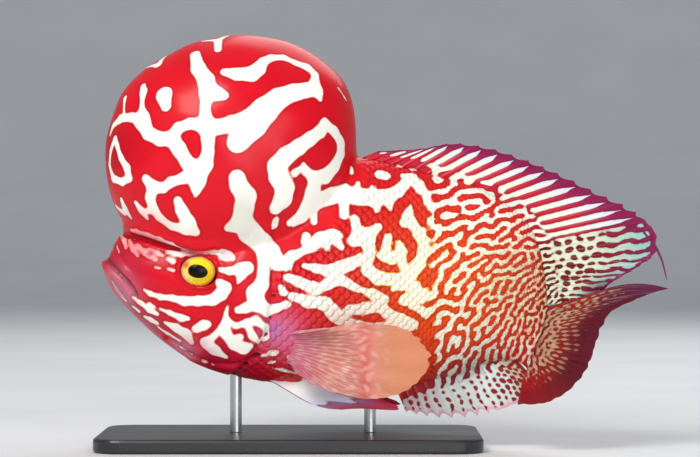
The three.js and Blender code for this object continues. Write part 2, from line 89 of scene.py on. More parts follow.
# The hump: its middle, half its width, and its radius in the middle plane at each 30 degrees.
HUMP_AT = (-29.0, 151.5)
HUMP_HALF_WIDTH = 43.0
HUMP_RADII = (63, 63.6, 57.5, 54, 53.6, 59, 63, 66.6, 70, 72, 70, 66)

# Lines in the side view. Scales start behind the shoulder's and the gill cover's edge.
SHOULDER_EDGE = ((14, 150), (4, 128))
GILL_EDGE = ((-8, 113), (-11, 99), (-10, 79), (-11.5, 61), (-18, 48), (-30, 37.5), (-44, 31))
COAT_EDGE = SHOULDER_EDGE + GILL_EDGE
CHEEK_EDGE = ((-20, 103), (-27, 93), (-29, 79), (-31, 65), (-38, 53), (-50, 46))
THROAT_FOLD = ((-60, 55), (-50, 48), (-38, 43.5), (-26, 43), (-12, 47))
MOUTH = ((-94.5, 94.8), (-90, 92.6), (-86.5, 89), (-81.5, 84.6), (-78, 81), (-75, 75.7))
HUMP_CREASE = ((-84, 106.2), (-72, 103.8), (-63.5, 101.2), (-53, 98.2), (-44, 96.4), (-36, 97.2))
COVER_FLARE = 1.6
NOSTRIL = (-68.5, 96.5)

# The eye's opening in the skin, and how the ball is moved and stretched from its solid to fill it.
EYE = (-44.0, 87.7)
EYE_OPENING = (9.2, 7.1)
EYE_TILT = math.radians(-14)
EYE_SHIFT = np.array([0.3, 0, -0.5])
EYE_STRETCH = np.array([1.04, 0.985, 1.0])

SKIN_VOXEL = 1.045

# Scales are widest at the shoulder and smallest at the tail, and stand this far over the skin.
SCALE_BIG = 5.6
SCALE_SMALL = 3.0
SCALE_LIFT = 0.4


def srgb(*rgb):
    """A colour as the eye names it, from 0 to 255, made linear."""
    c = np.array(rgb) / 255
    return np.where(c <= 0.04045, c / 12.92, ((c + 0.055) / 1.055) ** 2.4)


def from_picture(px, py):
    """The x and z, in millimetres, of a picture place on the middle plane."""
    return (px - ORIGIN_AT[0]) * PIXEL, (ORIGIN_AT[1] - py) * PIXEL


def to_picture(x, z):
    return x / PIXEL + ORIGIN_AT[0], ORIGIN_AT[1] - z / PIXEL


def smooth(t):
    t = np.clip(t, 0, 1)
    return t * t * (3 - 2 * t)


def mix(a, b, t):
    return a + (b - a) * t


def ridge(value, at, width):
    """1 where the value is at the given one, fading to 0 within about two widths."""
    return np.exp(-(((value - at) / width) ** 2))


def turned(a, b, angle):
    """A pair of coordinates, read on axes that are turned by the angle."""
    c, s = math.cos(angle), math.sin(angle)
    return a * c + b * s, b * c - a * s


def bend(x):
    """How far the middle plane stands off in y at x, all in millimetres."""
    x = np.asarray(x, float)
    up = np.clip(x, BEND_START, BEND_PEAK) - BEND_START
    y = BEND_SLOPE * up ** 2 / (2 * (BEND_PEAK - BEND_START))
    on = np.clip(x, BEND_PEAK, BEND_END) - BEND_PEAK
    y = y + BEND_SLOPE * on + (BEND_LAST_SLOPE - BEND_SLOPE) * on ** 2 / (2 * (BEND_END - BEND_PEAK))
    return -(y + BEND_LAST_SLOPE * np.maximum(0, x - BEND_END))


def spline(points, t, closed=False):
    """Points of a centripetal curve through the given ones, at t from 0 to 1."""
    p = np.asarray(points, float)
    if closed:
        padded = np.vstack([p[-1], p, p[0], p[1]])
    else:
        padded = np.vstack([2 * p[0] - p[1], p, 2 * p[-1] - p[-2]])
    spans = len(padded) - 3
    at = np.clip(np.asarray(t, float), 0, 1) * spans
    k = np.minimum(at.astype(int), spans - 1)
    w = (at - k)[..., None]
    p0, p1, p2, p3 = (padded[k + i] for i in range(4))
    steps = (p1 - p0, p2 - p1, p3 - p2)
    d0, d1, d2 = (np.sqrt(np.linalg.norm(step, axis=-1, keepdims=True)) for step in steps)
    t1 = ((p1 - p0) / d0 - (p2 - p0) / (d0 + d1) + (p2 - p1) / d1) * d1
    t2 = ((p2 - p1) / d1 - (p3 - p1) / (d1 + d2) + (p3 - p2) / d2) * d1
    return p1 + t1 * w + (3 * (p2 - p1) - 2 * t1 - t2) * w ** 2 + (2 * (p1 - p2) + t1 + t2) * w ** 3


def away_from(points, px, pz):
    """Distance in the side view to a line of points, above zero on the line's left and below zero on its right."""
    best = np.full(px.shape, 1e9)
    for (ax, az), (bx, bz) in zip(points, points[1:]):
        dx, dz = bx - ax, bz - az
        t = np.clip(((px - ax) * dx + (pz - az) * dz) / (dx * dx + dz * dz), 0, 1)
        ox, oz = px - ax - t * dx, pz - az - t * dz
        d = np.hypot(ox, oz) * np.where(dx * oz - dz * ox > 0, 1, -1)
        best = np.where(np.abs(d) < np.abs(best), d, best)
    return best


# Blender helpers.
def deselect():
    bpy.ops.object.select_all(action="DESELECT")


def only(obj):
    deselect()
    obj.select_set(True)
    bpy.context.view_layer.objects.active = obj


def apply_modifier(obj, kind, **settings):
    only(obj)
    bpy.ops.object.modifier_add(type=kind)
    modifier = obj.modifiers[-1]
    for key, value in settings.items():
        setattr(modifier, key, value)
    bpy.ops.object.modifier_apply(modifier=modifier.name)


def joined(objects, name):
    deselect()
    for obj in objects:
        obj.select_set(True)
    bpy.context.view_layer.objects.active = objects[0]
    bpy.ops.object.join()
    whole = bpy.context.view_layer.objects.active
    whole.name = name
    whole.data.name = name
    return whole


def vertex_rows(obj, key):
    flat = np.empty(len(obj.data.vertices) * 3, np.float32)
    obj.data.vertices.foreach_get(key, flat)
    return flat.reshape(-1, 3).astype(float)


def places(obj):
    """The mesh's vertices in millimetres."""
    return vertex_rows(obj, "co") / MM


def put_places(obj, points):
    obj.data.vertices.foreach_set("co", (points * MM).astype(np.float32).ravel())
    obj.data.update()


def unit_ball(name, sides, rings):
    """A ball of radius 1 and its vertices, to be put elsewhere."""
    bpy.ops.mesh.primitive_uv_sphere_add(segments=sides, ring_count=rings, radius=1)
    ball = bpy.context.active_object
    ball.name = name
    return ball, vertex_rows(ball, "co")


def new_mesh(name, points, faces):
    """A mesh object from places in millimetres."""
    mesh = bpy.data.meshes.new(name)
    mesh.from_pydata((points * MM).tolist(), [], faces)
    made = bpy.data.objects.new(name, mesh)
    bpy.context.scene.collection.objects.link(made)
    return made


def grid_quads(at):
    """Faces over a grid of vertex numbers."""
    return np.stack([at[:-1, :-1], at[1:, :-1], at[1:, 1:], at[:-1, 1:]], axis=2).reshape(-1, 4)


def grid_rim(at):
    """The vertex numbers round the edge of a grid, in order."""
    return np.concatenate([at[:-1, 0], at[-1, :-1], at[:0:-1, -1], at[0, :0:-1]])


def turned_out(obj, merged=True):
    """Faces turned outwards, after doubles are merged where asked."""
    only(obj)
    bpy.ops.object.mode_set(mode="EDIT")
    bpy.ops.mesh.select_all(action="SELECT")
    if merged:
        bpy.ops.mesh.remove_doubles(threshold=0.00001)
    bpy.ops.mesh.normals_make_consistent(inside=False)
    bpy.ops.object.mode_set(mode="OBJECT")


def put_number(obj, name, values):
    layer = obj.data.attributes.new(name, "FLOAT", "POINT")
    layer.data.foreach_set("value", np.asarray(values, np.float32).ravel())


def put_colour(obj, name, rgb):
    layer = obj.data.attributes.new(name, "FLOAT_COLOR", "POINT")
    rgba = np.ones((len(rgb), 4), np.float32)
    rgba[:, :3] = rgb
    layer.data.foreach_set("color", rgba.ravel())


def put_marks(obj, marks, ground, light, rim):
    """What the marked finishes read at each vertex: the mark field and the three colours that it parts."""
    put_number(obj, "marks", marks)
    for name, rgb in (("ground", ground), ("light", light), ("rim", rim)):
        put_colour(obj, name, rgb)


def finish_piece(obj, finish, slot, *nodes, edge=None):
    """The piece's finish, smooth shading, sharp past an edge angle where one is given, and its place in the frame."""
    only(obj)
    obj.data.materials.append(bpy.data.materials[finish])
    if edge is None:
        bpy.ops.object.shade_smooth()
    else:
        bpy.ops.object.shade_smooth_by_angle(angle=edge)
    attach(obj, "root")
    if nodes:
        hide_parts(*nodes)


# Camera, floor and light.
def make_camera():
    bpy.ops.object.camera_add(location=[v * MM for v in CAMERA_AT], rotation=(math.pi / 2, 0, 0))
    camera = bpy.context.active_object
    camera.name = "camera"
    camera.data.sensor_width = SENSOR
    camera.data.lens = SENSOR * -CAMERA_AT[1] / (IMAGE[0] * PIXEL)
    camera.data.clip_end = 20
    bpy.context.scene.camera = camera


def make_floor():
    """A pale floor that curves up into a wall far behind."""
    bpy.ops.mesh.primitive_plane_add(size=1, location=(0, 0, 0))
    floor = bpy.context.active_object
    floor.name = "floor"
    bpy.ops.object.mode_set(mode="EDIT")
    bpy.ops.transform.resize(value=(8, 8, 1))
    bpy.ops.mesh.select_all(action="DESELECT")
    bpy.ops.object.mode_set(mode="OBJECT")
    for edge in floor.data.edges:
        edge.select = all(floor.data.vertices[v].co.y > 0 for v in edge.vertices)
    bpy.ops.object.mode_set(mode="EDIT")
    bpy.ops.mesh.select_mode(type="EDGE")
    bpy.ops.mesh.extrude_region_move(TRANSFORM_OT_translate={"value": (0, 0, 4)})
    bpy.ops.mesh.select_all(action="SELECT")
    bpy.ops.mesh.normals_make_consistent(inside=False)
    bpy.ops.object.mode_set(mode="OBJECT")
    apply_modifier(floor, "BEVEL", width=1.5, segments=16, limit_method="ANGLE")
    bpy.ops.object.shade_smooth()
    floor.data.materials.append(bpy.data.materials["pale_floor"])


# Lights are placed in metres, and all aim at the middle of the fish.
LIGHT_AIM = Vector((0.02, 0, 0.11))


def add_light(name, at, size, power, colour):
    bpy.ops.object.light_add(type="AREA", location=at)
    light = bpy.context.active_object
    light.name = name
    light.data.size = size
    light.data.energy = power
    light.data.color = colour
    light.rotation_euler = (LIGHT_AIM - Vector(at)).to_track_quat("-Z", "Y").to_euler()


def make_lights():
    add_light("key_light", (-0.7, -1.2, 1.3), 0.8, 22, (1, 0.98, 0.95))
    add_light("fill_light", (0.5, -1.7, 0.2), 1.2, 16, (0.96, 0.98, 1))
    add_light("back_light", (0.4, 1.0, 1.2), 1.2, 10, (1, 1, 1))
    world = bpy.data.worlds.new("studio")
    bpy.context.scene.world = world
    world.use_nodes = True
    world.node_tree.nodes["Background"].inputs["Color"].default_value = (0.9, 0.94, 1, 1)
    world.node_tree.nodes["Background"].inputs["Strength"].default_value = 0.34
    bpy.context.scene.view_settings.view_transform = "Standard"


# Flesh form.
def flesh_point(t, c, s):
    """Body surface at t from mouth to tail. c and s are the cosine and sine of the angle up from the left side."""
    back = spline([(a, h, b) for a, b, _, _, h in STATIONS], t)
    belly = spline([(a, 0, b) for _, _, a, b, _ in STATIONS], t)
    half = back[..., 1]
    up = (back - belly) * np.array([1, 0, 1])
    out = (back + belly) / 2 + up / 2 * s[..., None]
    share = np.sign(c) * np.abs(c) ** FLANK_ROUND * (1 - BACK_TAPER * np.maximum(0, s))
    out[..., 1] = -half * share + bend(out[..., 0])
    return out


def flesh_loft():
    """The body without hump or fins, as a fine loft through the stations. The ball's poles close its ends."""
    sides, rings = 96, 150
    body, p = unit_ball("flesh", sides, rings + 2)
    angle = np.arctan2(p[:, 1], p[:, 0])
    ring = (np.arccos(np.clip(p[:, 2], -1, 1)) / math.pi * (rings + 2) - 1) / rings
    pole = (ring < -0.001) | (ring > 1.001)
    c, s = np.where(pole, 0, np.cos(angle)), np.where(pole, 0, np.sin(angle))
    put_places(body, flesh_point(np.clip(ring, 0, 1), c, s))
    return body


def hump_ball():
    ball, p = unit_ball("hump_ball", 96, 72)
    around = np.arctan2(p[:, 1], p[:, 0]) / (2 * math.pi) % 1
    turns = [(r * math.cos(a), r * math.sin(a)) for a, r in zip(np.arange(12) * math.pi / 6, HUMP_RADII)]
    edge = spline(turns, around, closed=True)
    across = np.sqrt(np.maximum(0, 1 - p[:, 2] ** 2))
    out = np.empty_like(p)
    out[:, 0] = HUMP_AT[0] + edge[:, 0] * across
    out[:, 2] = HUMP_AT[1] + edge[:, 1] * across
    out[:, 1] = -HUMP_HALF_WIDTH * p[:, 2]
    put_places(ball, out)
    return ball


# Small forms of the skin, in millimetres out from it. Those with a fold also give the painted shade in it, from 0 to
# 1.
def gill_and_cheek(x, z, flank):
    """The gill cover's raised edge, the slit behind it, the plate of the cheek, and the bed that the scales lie in."""
    gill, cheek = away_from(COAT_EDGE, x, z), away_from(CHEEK_EDGE, x, z)
    low = 1 - smooth((z - 58) / 20)
    flare = COVER_FLARE * mix(1, 0.45, smooth((z - 88) / 16))
    cover = flare * (1 - smooth((gill + 0.4) / mix(3.5, 2.2, low))) * smooth((gill + 30) / 22)
    slit = mix(0.25, 0.4, low) * ridge(gill, 1.6, 1.1)
    plate = 0.45 * (smooth((cheek + 1.5) / 1.5) - smooth((cheek - 1) / 9)) - 0.35 * ridge(cheek, 0, 0.9)
    bed = smooth(gill / 2) * (1 - smooth((z - 128) / 10) * (1 - smooth((x - 22) / 14)))
    below_hump = 1 - smooth((z - 106) / 8)
    return (cover - slit + plate) * flank * below_hump - SCALE_LIFT * bed


def throat(x, z, flank):
    fold = away_from(THROAT_FOLD, x, z)
    form = 0.6 * smooth(1 - np.abs(fold + 2.5) / 3.5) - 0.8 * ridge(fold, 0, 0.9)
    return form * flank * smooth((-12 - x) / 6)


def lips(x, z):
    """Both lips with the fold over the upper one, painted shade in the mouth's line, and how far the upper lip stands
    back behind the lower one.
    """
    lip = away_from(spline(MOUTH, np.linspace(0, 1, 12)), x, z)
    reach = smooth((-71.5 - x) / 4)
    form = np.where(lip > 0, 0.5 * ridge(lip, 2.2, 1.4) - 0.5 * ridge(lip, 5.4, 0.9), 1.2 * ridge(lip, -2.8, 2.0))
    form -= 2.1 * ridge(lip, 0, 0.7)
    upper = smooth(lip / 1.6) * mix(1, 0.4, smooth((z - 93) / 10)) * (1 - smooth((z - 104) / 6))
    return form * reach, 0.6 * ridge(lip, 0, 0.8) * reach, 3.0 * upper * smooth((-80 - x) / 10)


def hump_crease(x, z):
    """The crease under the hump's front, between two rolls of skin, with painted shade in it."""
    crease = away_from(spline(HUMP_CREASE, np.linspace(0, 1, 24)), x, z)
    ends = smooth((x + 90) / 9) * (1 - smooth((x + 37) / 12))
    rolls = np.where(crease > 0, 1.5 * ridge(crease, 3.2, 2.4), 0.7 * ridge(crease, -2.2, 1.0))
    form = rolls - 1.7 * ridge(crease, 0, 1.25)
    return form * ends, 0.4 * ridge(crease, 0, 1.1) * ends * smooth((-40 - x) / 8)


def eye_socket(x, z, outer):
    along, across = turned(x - EYE[0], z - EYE[1], EYE_TILT)
    r = np.hypot(along / EYE_OPENING[0], across / EYE_OPENING[1])
    form = 1.15 * ridge(r, 1.13, 0.1) - 0.3 * ridge(r, 1.38, 0.11) - 4.5 * (1 - smooth((r - 0.9) / 0.13))
    # The second value is painted shade round the eye's opening.
    return form * outer, 0.5 * ridge(r, 1.0, 0.07) * outer


def nostril(x, z, outer):
    r = np.hypot((x - NOSTRIL[0]) / 1.4, z - NOSTRIL[1])
    # The second value is painted shade in the nostril.
    return (0.45 * ridge(r, 1.9, 0.6) - 1.5 * ridge(r, 0, 1.1)) * outer, 0.6 * ridge(r, 0, 0.9) * outer


def shape_details(skin):
    """Pushes the small forms along the skin's normals. Gives how light each vertex stays under the painted shade of
    the folds: 1, and less in a fold.
    """
    p = places(skin)
    x, z = p[:, 0], p[:, 2]
    off = np.abs(p[:, 1] - bend(x))
    flank, outer = smooth((off - 3) / 8), smooth((off - 12) / 4)
    push, fold_shade, back = lips(x, z)
    lump = np.sin(x * 0.11 + 1.3) * np.sin(z * 0.13 + 0.4) + 0.6 * np.sin(x * 0.23 + z * 0.19)
    move = gill_and_cheek(x, z, flank) + throat(x, z, flank) + push + 0.28 * lump
    # Painted shade: each fold darkens the colours of its vertices.
    shade = 1 - fold_shade
    for push, fold_shade in (hump_crease(x, z), eye_socket(x, z, outer), nostril(x, z, outer)):
        move += push
        shade *= 1 - fold_shade
    p[:, 0] += back
    put_places(skin, p + vertex_rows(skin, "normal") * move[:, None])
    return shade


def make_skin():
    """One closed skin over body and hump, and how light each of its vertices stays under the painted shade of the
    folds.
    """
    parts = [flesh_loft(), hump_ball()]
    for part in parts:
        turned_out(part)
    skin = joined(parts, "skin")
    apply_modifier(skin, "REMESH", mode="VOXEL", voxel_size=SKIN_VOXEL * MM)
    apply_modifier(skin, "SMOOTH", factor=0.5, iterations=6)
    return skin, shape_details(skin)


# Markings. A stroke is a row of picture places, each with half the mark's width there, all in pixels.
HUMP_STROKES = (
    ((143, 70, 1.5), (158, 65, 3.5), (170, 54, 2.5), (185, 45, 1.5)),
    ((203, 41, 2), (218, 40, 4), (227, 36, 3)),
    ((218, 42, 4), (218, 50, 3.5)),
    ((195, 54, 5), (198, 68, 7), (206, 80, 8), (208, 92, 8.5), (205, 108, 4.5), (206, 125, 8)),
    ((209, 89, 8), (218, 94, 6.5), (224, 95.5, 4.5)),
    ((164, 95, 9), (166, 106, 5.5)),
    ((143, 86, 3), (143.5, 92, 4), (142, 105, 2), (142, 120, 9), (148, 133, 6.5), (160, 139, 6.5), (172, 139, 7)),
    ((142, 120, 7), (131, 117, 4), (120, 119, 4), (113, 126, 3), (110, 135, 1.5)),
    ((125, 98, 3), (124, 108, 1), (124, 115, 2)),
    ((172, 138, 7), (178, 128, 5), (190, 123.5, 5), (206, 125, 8)),
    ((172, 139, 7), (179, 149, 7), (187, 162, 6.5), (194, 170, 9)),
    ((207, 127, 8), (208, 140, 6), (208, 152, 5.5), (205, 164, 7.5), (198, 171, 10)),
    ((198, 171, 10), (197, 182, 8), (196, 190, 4), (195.5, 196, 1.5)),
    ((194, 174, 7), (184, 178, 5), (171, 182, 4.5), (163, 188, 4.5), (153, 187, 6), (146, 179, 4.5)),
    ((153, 187, 6), (150, 198, 5), (153, 208, 5), (159, 217, 4), (171, 226, 3.5), (186, 229, 6), (196, 233, 3)),
    ((178, 201, 4.5), (182, 211, 6), (188, 222, 7), (195, 231, 4)),
    ((136, 203, 2.5), (141, 210, 3.5), (147, 218, 2)),
    ((145, 212, 2.5), (152, 210, 3)),
    ((115, 139, 3), (111, 150, 2.2), (109.5, 165, 2.2), (113, 178, 4), (122, 182, 3.5), (129, 178, 3.5)),
    ((129, 178, 3.5), (127, 168, 4), (121, 158, 3), (117, 145, 2.5), (115, 139, 2.5)),
    ((121.5, 200, 2.5), (125, 209, 4), (131, 218, 1.5)),
    ((116, 206, 2), (124, 213, 3)),
    ((225, 72, 4.5), (237, 74, 7), (251, 74, 8), (258, 69, 7), (264, 61, 4.5), (272, 57.5, 4), (284, 57.5, 3.5)),
    ((284, 57.5, 3.5), (296, 63, 3.2), (307, 67, 4.5), (315, 74, 3.5), (315, 83, 5), (317, 91, 6.5), (320, 99, 2.5)),
    ((313, 89, 8), (295, 92, 8.5), (279, 98, 10), (265, 110, 12.5), (252, 124, 14), (240, 139, 11)),
    ((240, 139, 10), (237, 143, 9.5)),
    ((206, 126, 8), (218, 127, 7), (232, 124, 8), (250, 122, 12)),
    ((338, 88, 1), (346, 100, 1)),
    ((325, 122, 4), (321, 131, 6), (310, 139, 6.5), (299, 147, 7.5), (286, 156, 8.5), (277, 166, 9)),
    ((277, 166, 9), (279, 177, 9.5), (285, 188, 9), (283, 199, 9), (276, 208, 6.5)),
    ((325, 124, 5), (335, 132, 5), (341, 143, 5.5), (341, 153, 5.5), (335, 166, 6), (326, 176, 7.5), (314, 178, 6)),
    ((314, 178, 6), (306, 171, 4), (303.5, 164, 1.5)),
    ((303, 166, 1.5), (295, 173, 4)),
    ((315, 180, 6.5), (313, 192, 8), (310, 205, 9), (302, 216, 7), (294, 224, 3)),
    ((237, 178, 8), (239, 186, 8.5), (246, 196, 9.5), (244, 208, 9), (242, 219, 9), (250, 233, 11), (262, 243, 10)),
    ((242, 222, 8), (234, 226, 6), (228, 228, 3.5)),
)
FACE_STROKES = (
    ((262, 243, 9), (271, 251, 8), (277, 262, 7.5), (287, 266, 5.5)),
    ((262, 243, 8), (263, 257, 5), (264, 272, 5.5), (262, 284, 6.5), (255, 293, 8), (257, 303, 7.5), (268, 311, 5.5)),
    ((257, 303, 6), (246, 308, 4.5), (238, 310, 3.5)),
    ((268, 311, 5), (277, 308, 3.5), (287, 304, 3.5)),
    ((220.5, 269.5, 2.6), (230, 271, 3.3), (241, 269, 6), (247, 268, 6.5)),
    ((241, 276, 5), (238, 283, 1)),
    ((131, 230.5, 1.6), (137, 232.5, 2.9), (148, 236, 3.1), (160, 240, 2.6), (172, 244.5, 2.2), (184, 248.7, 1.8)),
    ((184, 249, 1.6), (195, 251.5, 1.7), (206, 252, 1.9), (214, 251.5, 2.4), (222, 252.5, 3.4), (229, 256, 3.8),
     (233, 258.5, 2.6)),
    ((221, 257.5, 2.4), (227, 259, 2)),
    ((167, 251.5, 1.5), (175, 253, 2.8), (184, 254.3, 3.2), (190.5, 254.8, 1.8)),
    ((144.5, 290, 1.2), (150, 293.5, 2.2), (160, 297, 2.4), (172, 298, 2.8), (184, 301, 4.2), (198, 301, 4.4)),
    ((198, 301, 4.4), (213, 300, 5), (221, 294, 6), (225, 288, 6), (220, 283, 3.5), (217, 280, 1)),
    ((133, 297, 1.2), (141, 303, 2.2), (149, 309.5, 3.2), (157, 314, 2.2)),
    ((149.5, 304, 2), (154, 307, 1.5)),
    ((160, 309, 1.2), (170, 313, 2.2), (181, 318, 3.4), (188, 318.5, 2.2)),
    ((145, 317, 2), (151, 320, 2.7), (157, 323, 2.2)),
    ((165, 322.5, 1.6), (176, 328, 4.6), (186, 334, 5.6), (191, 342, 3.2)),
    ((158, 327, 1), (168, 334, 1.8), (180, 341, 1.6)),
    ((196, 329, 4.2), (204, 325, 4.6), (208, 324, 3.2)),
    ((228, 306, 1), (226, 313, 2.2)),
    ((226, 318, 2.5), (222, 328, 3), (214, 336, 2.5), (206, 343, 5.5), (214, 350, 6), (226, 357, 2)),
    ((226, 320, 3), (226, 334, 5), (234, 345, 5), (243, 348, 6.5), (250, 346, 3)),
    ((232, 341, 4), (240, 337, 3.5)),
    ((228, 320, 2), (236, 326, 2.5), (247, 323, 3.6), (256, 320.5, 4), (266, 327.5, 3.1), (265.5, 337, 3),
     (260, 342, 2)),
    ((247, 324, 3), (252.5, 336, 3.6), (259, 341.5, 2.4)),
    ((133, 306.5, 1.8), (138.5, 311, 2.2)),
    ((112.5, 282, 1.6), (116.5, 289, 2.4), (121.5, 296, 2.3), (126, 301, 1.5)),
    ((120, 234, 1.2), (124, 240, 1.8), (126, 248, 1.2)),
    ((129, 240, 1), (133, 249, 1.8), (138, 256, 1)),
    ((134, 239, 0.8), (139, 247, 1.4), (145, 254, 1.2)),
    ((144, 250, 1.5), (150, 256, 2.4), (156, 260, 1.4)),
    ((149, 249, 1), (158, 253, 1.6), (163, 256, 1)),
    ((168, 259, 1.8), (173, 261.5, 2.8)),
    ((117, 246, 0.8), (119, 252, 1.2)),
    ((155, 267, 1), (160, 268.5, 1)),
    ((168, 269, 1.2), (174, 270.5, 1.4)),
    ((181, 347, 1.5), (185, 349, 1.8)),
    ((190, 352.5, 1), (192, 354, 1.2)),
    ((203.5, 361, 1.8), (205.5, 362, 1.8)),
    ((212, 364, 0.7), (214, 365, 0.7)),
)
SHOULDER_STROKES = (
    ((290, 223, 3.5), (304, 213, 6), (315, 202, 9), (330, 196, 8), (344, 193, 7.5), (360, 197, 8.5), (374, 198, 8)),
    ((374, 198, 8), (388, 196, 7), (398, 191, 6), (405, 184, 5), (408, 180, 3)),
    ((346, 186, 2.5), (341, 193, 5)),
    ((358, 183, 2), (356, 192, 4)),
    ((373, 187, 2.5), (371, 196, 4)),
    ((344, 199, 5), (344, 215, 4.5)),
    ((314, 208, 5), (314, 222, 3)),
    ((376, 200, 5), (377, 211, 2.5)),
    ((389, 200, 5), (390, 209, 2.5)),
    ((380, 175, 5.5), (385, 176, 5.5)),
    ((403, 176, 3), (412, 177, 4), (419, 186, 6), (421, 191, 4.5)),
    ((440, 186, 4.5), (442, 191, 4.5)),
    ((428, 199, 6), (433, 209, 4.5)),
    ((411, 206, 2), (408, 216, 5), (404, 223, 4), (412, 224, 5), (419, 233, 6), (426, 243, 7), (424, 254, 6),
     (419, 263, 5)),
    ((306, 236, 4), (304.5, 242, 3.5)),
    ((275, 220, 4), (273, 225, 5)),
    ((298, 254, 3), (309, 248, 4.5), (320, 239, 6.5), (332, 236, 6.5), (339, 236, 4)),
    ((314, 248, 3), (317, 251, 1.5)),
    ((326, 244, 3), (328, 250, 2)),
    ((336, 240, 4.5), (341, 248, 3)),
    ((286, 262, 6), (292, 256, 5), (299, 253, 3)),
    ((304, 266, 2.5), (316, 268, 4), (328, 271, 5.5), (341, 267, 6), (352, 265, 5)),
    ((341, 267, 5), (345, 262, 3)),
    ((348, 262, 3), (358, 260, 4), (360, 256, 3)),
    ((355, 219, 4.5), (357, 232, 5), (354, 241, 5), (366, 237, 8), (378, 227, 4)),
    ((368, 240, 7), (369, 255, 5), (367, 270, 5), (378, 278, 6.5), (396, 280, 5.5), (409, 276, 6), (419, 264, 6)),
    ((388, 237, 4), (384, 256, 4.5), (392, 259, 5), (401, 252, 5), (399, 243, 3)),
    ((401, 256, 5), (404, 268, 4)),
    ((287, 277, 3.5), (299, 282, 5), (312, 287, 5), (319, 290, 3.5)),
    ((281, 287, 3), (283, 293, 3.5)),
    ((316, 291, 4), (327, 284, 5), (338, 279, 5.5), (348, 283, 4), (357, 289, 3.5)),
    ((293, 296, 4), (308, 302, 5.5), (325, 303, 6), (333, 312, 6.5), (343, 318, 4), (350, 310, 4.5), (363, 309, 5.5)),
    ((363, 309, 5.5), (380, 306, 5.5), (387, 313, 5), (399, 321, 7.5), (412, 325, 6)),
    ((334, 318, 4), (352, 325, 6), (368, 329, 6), (384, 328, 6)),
    ((362, 290, 2.5), (374, 295, 5), (385, 299, 4)),
    ((404, 300, 5.5), (420, 296, 7.5), (436, 292, 7), (448, 288, 5)),
    ((393, 289, 2), (404, 286, 4), (417, 285, 4)),
    ((412, 306, 3), (426, 312, 5), (440, 310, 4)),
    ((271, 353, 3), (276, 352, 3.2)),
    ((262, 356, 1.5), (265, 355, 1.8)),
    ((269, 363, 1.5), (274, 361.5, 1.8)),
    ((290, 357, 3), (295, 359, 2.6)),
    ((273, 368, 1.5), (283, 370, 1.8), (296, 373, 1.5)),
    ((299, 362, 2), (303, 364, 2.4)),
    ((351.5, 168, 2), (351.5, 173, 2)),
    ((374, 158, 1.6), (384, 161, 3), (396, 158, 3), (405, 161, 3.2)),
    ((398, 167, 2.6), (408, 159, 3), (420, 155, 2.6)),
    ((412, 170, 3), (424, 164, 3.6), (437, 159, 3)),
    ((432, 222, 4), (440, 228, 5), (446, 236, 5), (444, 246, 4)),
    ((436, 268, 5), (446, 260, 5), (450, 250, 4)),
)


def stroke_segments(strokes, tree):
    """Each stroke's stretches as places on the skin, in millimetres, with the half widths."""
    lens = Vector([v * MM for v in CAMERA_AT])
    rows = []
    for stroke in strokes:
        points = []
        for px, py, half in stroke:
            x, z = from_picture(px, py)
            hit = tree.ray_cast(lens, (Vector((x * MM, 0, z * MM)) - lens).normalized())[0]
            at = np.array(hit) / MM if hit is not None else np.array([x, float(bend(x)), z])
            at[1] -= float(bend(at[0]))
            points.append((at, half * PIXEL))
        rows.extend(zip(points, points[1:]))
    return rows


def stroke_field(points, rows):
    """Signed distance in millimetres to the painted marks: below zero inside them. Strokes that meet run together."""
    softness, far = 0.9, 9
    total = np.zeros(len(points))
    for (a, wa), (b, wb) in rows:
        ab = b - a
        reach = max(wa, wb) + far
        low, high = np.minimum(a, b) - reach, np.maximum(a, b) + reach
        near = np.flatnonzero(np.all((points > low) & (points < high), axis=1))
        q = points[near] - a
        t = np.clip(q @ ab / max(float(ab @ ab), 1e-6), 0, 1)
        d = np.linalg.norm(q - t[:, None] * ab, axis=1) - mix(wa, wb, t)
        total[near] += np.exp(-np.minimum(d, far) / softness * 1.6)
    # The colour fades in inside the edge, so a mark is drawn a little wider than it shows.
    return np.where(total > 0, -np.log(np.maximum(total, 1e-6)) * softness / 1.6 - 0.22, 8.0)


# The fine network of marks on the flank grows on a grid of angle and logarithm of distance about a place behind the
# tail, so that it gets finer towards the tail. Sizes in the grid are in cells, and places in picture pixels.
NET_FOCUS = (640.0, 318.0)
NET_NEAR, NET_FAR = 60.0, 440.0
NET_LOW, NET_HIGH = math.radians(-42), math.radians(56)
NET_GRID = (540, 640)
NET_STEP = math.log(NET_FAR / NET_NEAR) / NET_GRID[1]
NET_UNIT = 2.45
NET_PALER = 0.15
NET_ROUNDS = 26
NET_SEEDS = (5, 11)
# The net takes over from the strokes between these picture columns, and keeps to them where it starts.
NET_STARTS = (400, 440)
# How wide a line of the net is, as a share of the distance from the focus.
NET_LINE = 0.0105


def net_kernel(long_way, short_way, angle, one_way):
    """Transform of a bump minus a wider bump, drawn out along an angle, that favours lines lying along it."""
    fy = np.fft.fftfreq(NET_GRID[0])[:, None] * 2 * math.pi
    fx = np.fft.fftfreq(NET_GRID[1])[None, :] * 2 * math.pi
    along, across = turned(fx, fy, angle)
    along, across = along * long_way, across * short_way
    power = along ** 2 + across ** 2
    favour = 1 - one_way * along ** 2 / np.maximum(power, 1e-9)
    return (np.exp(-power / 2) - np.exp(-power * 1.9 ** 2 / 2)) * favour


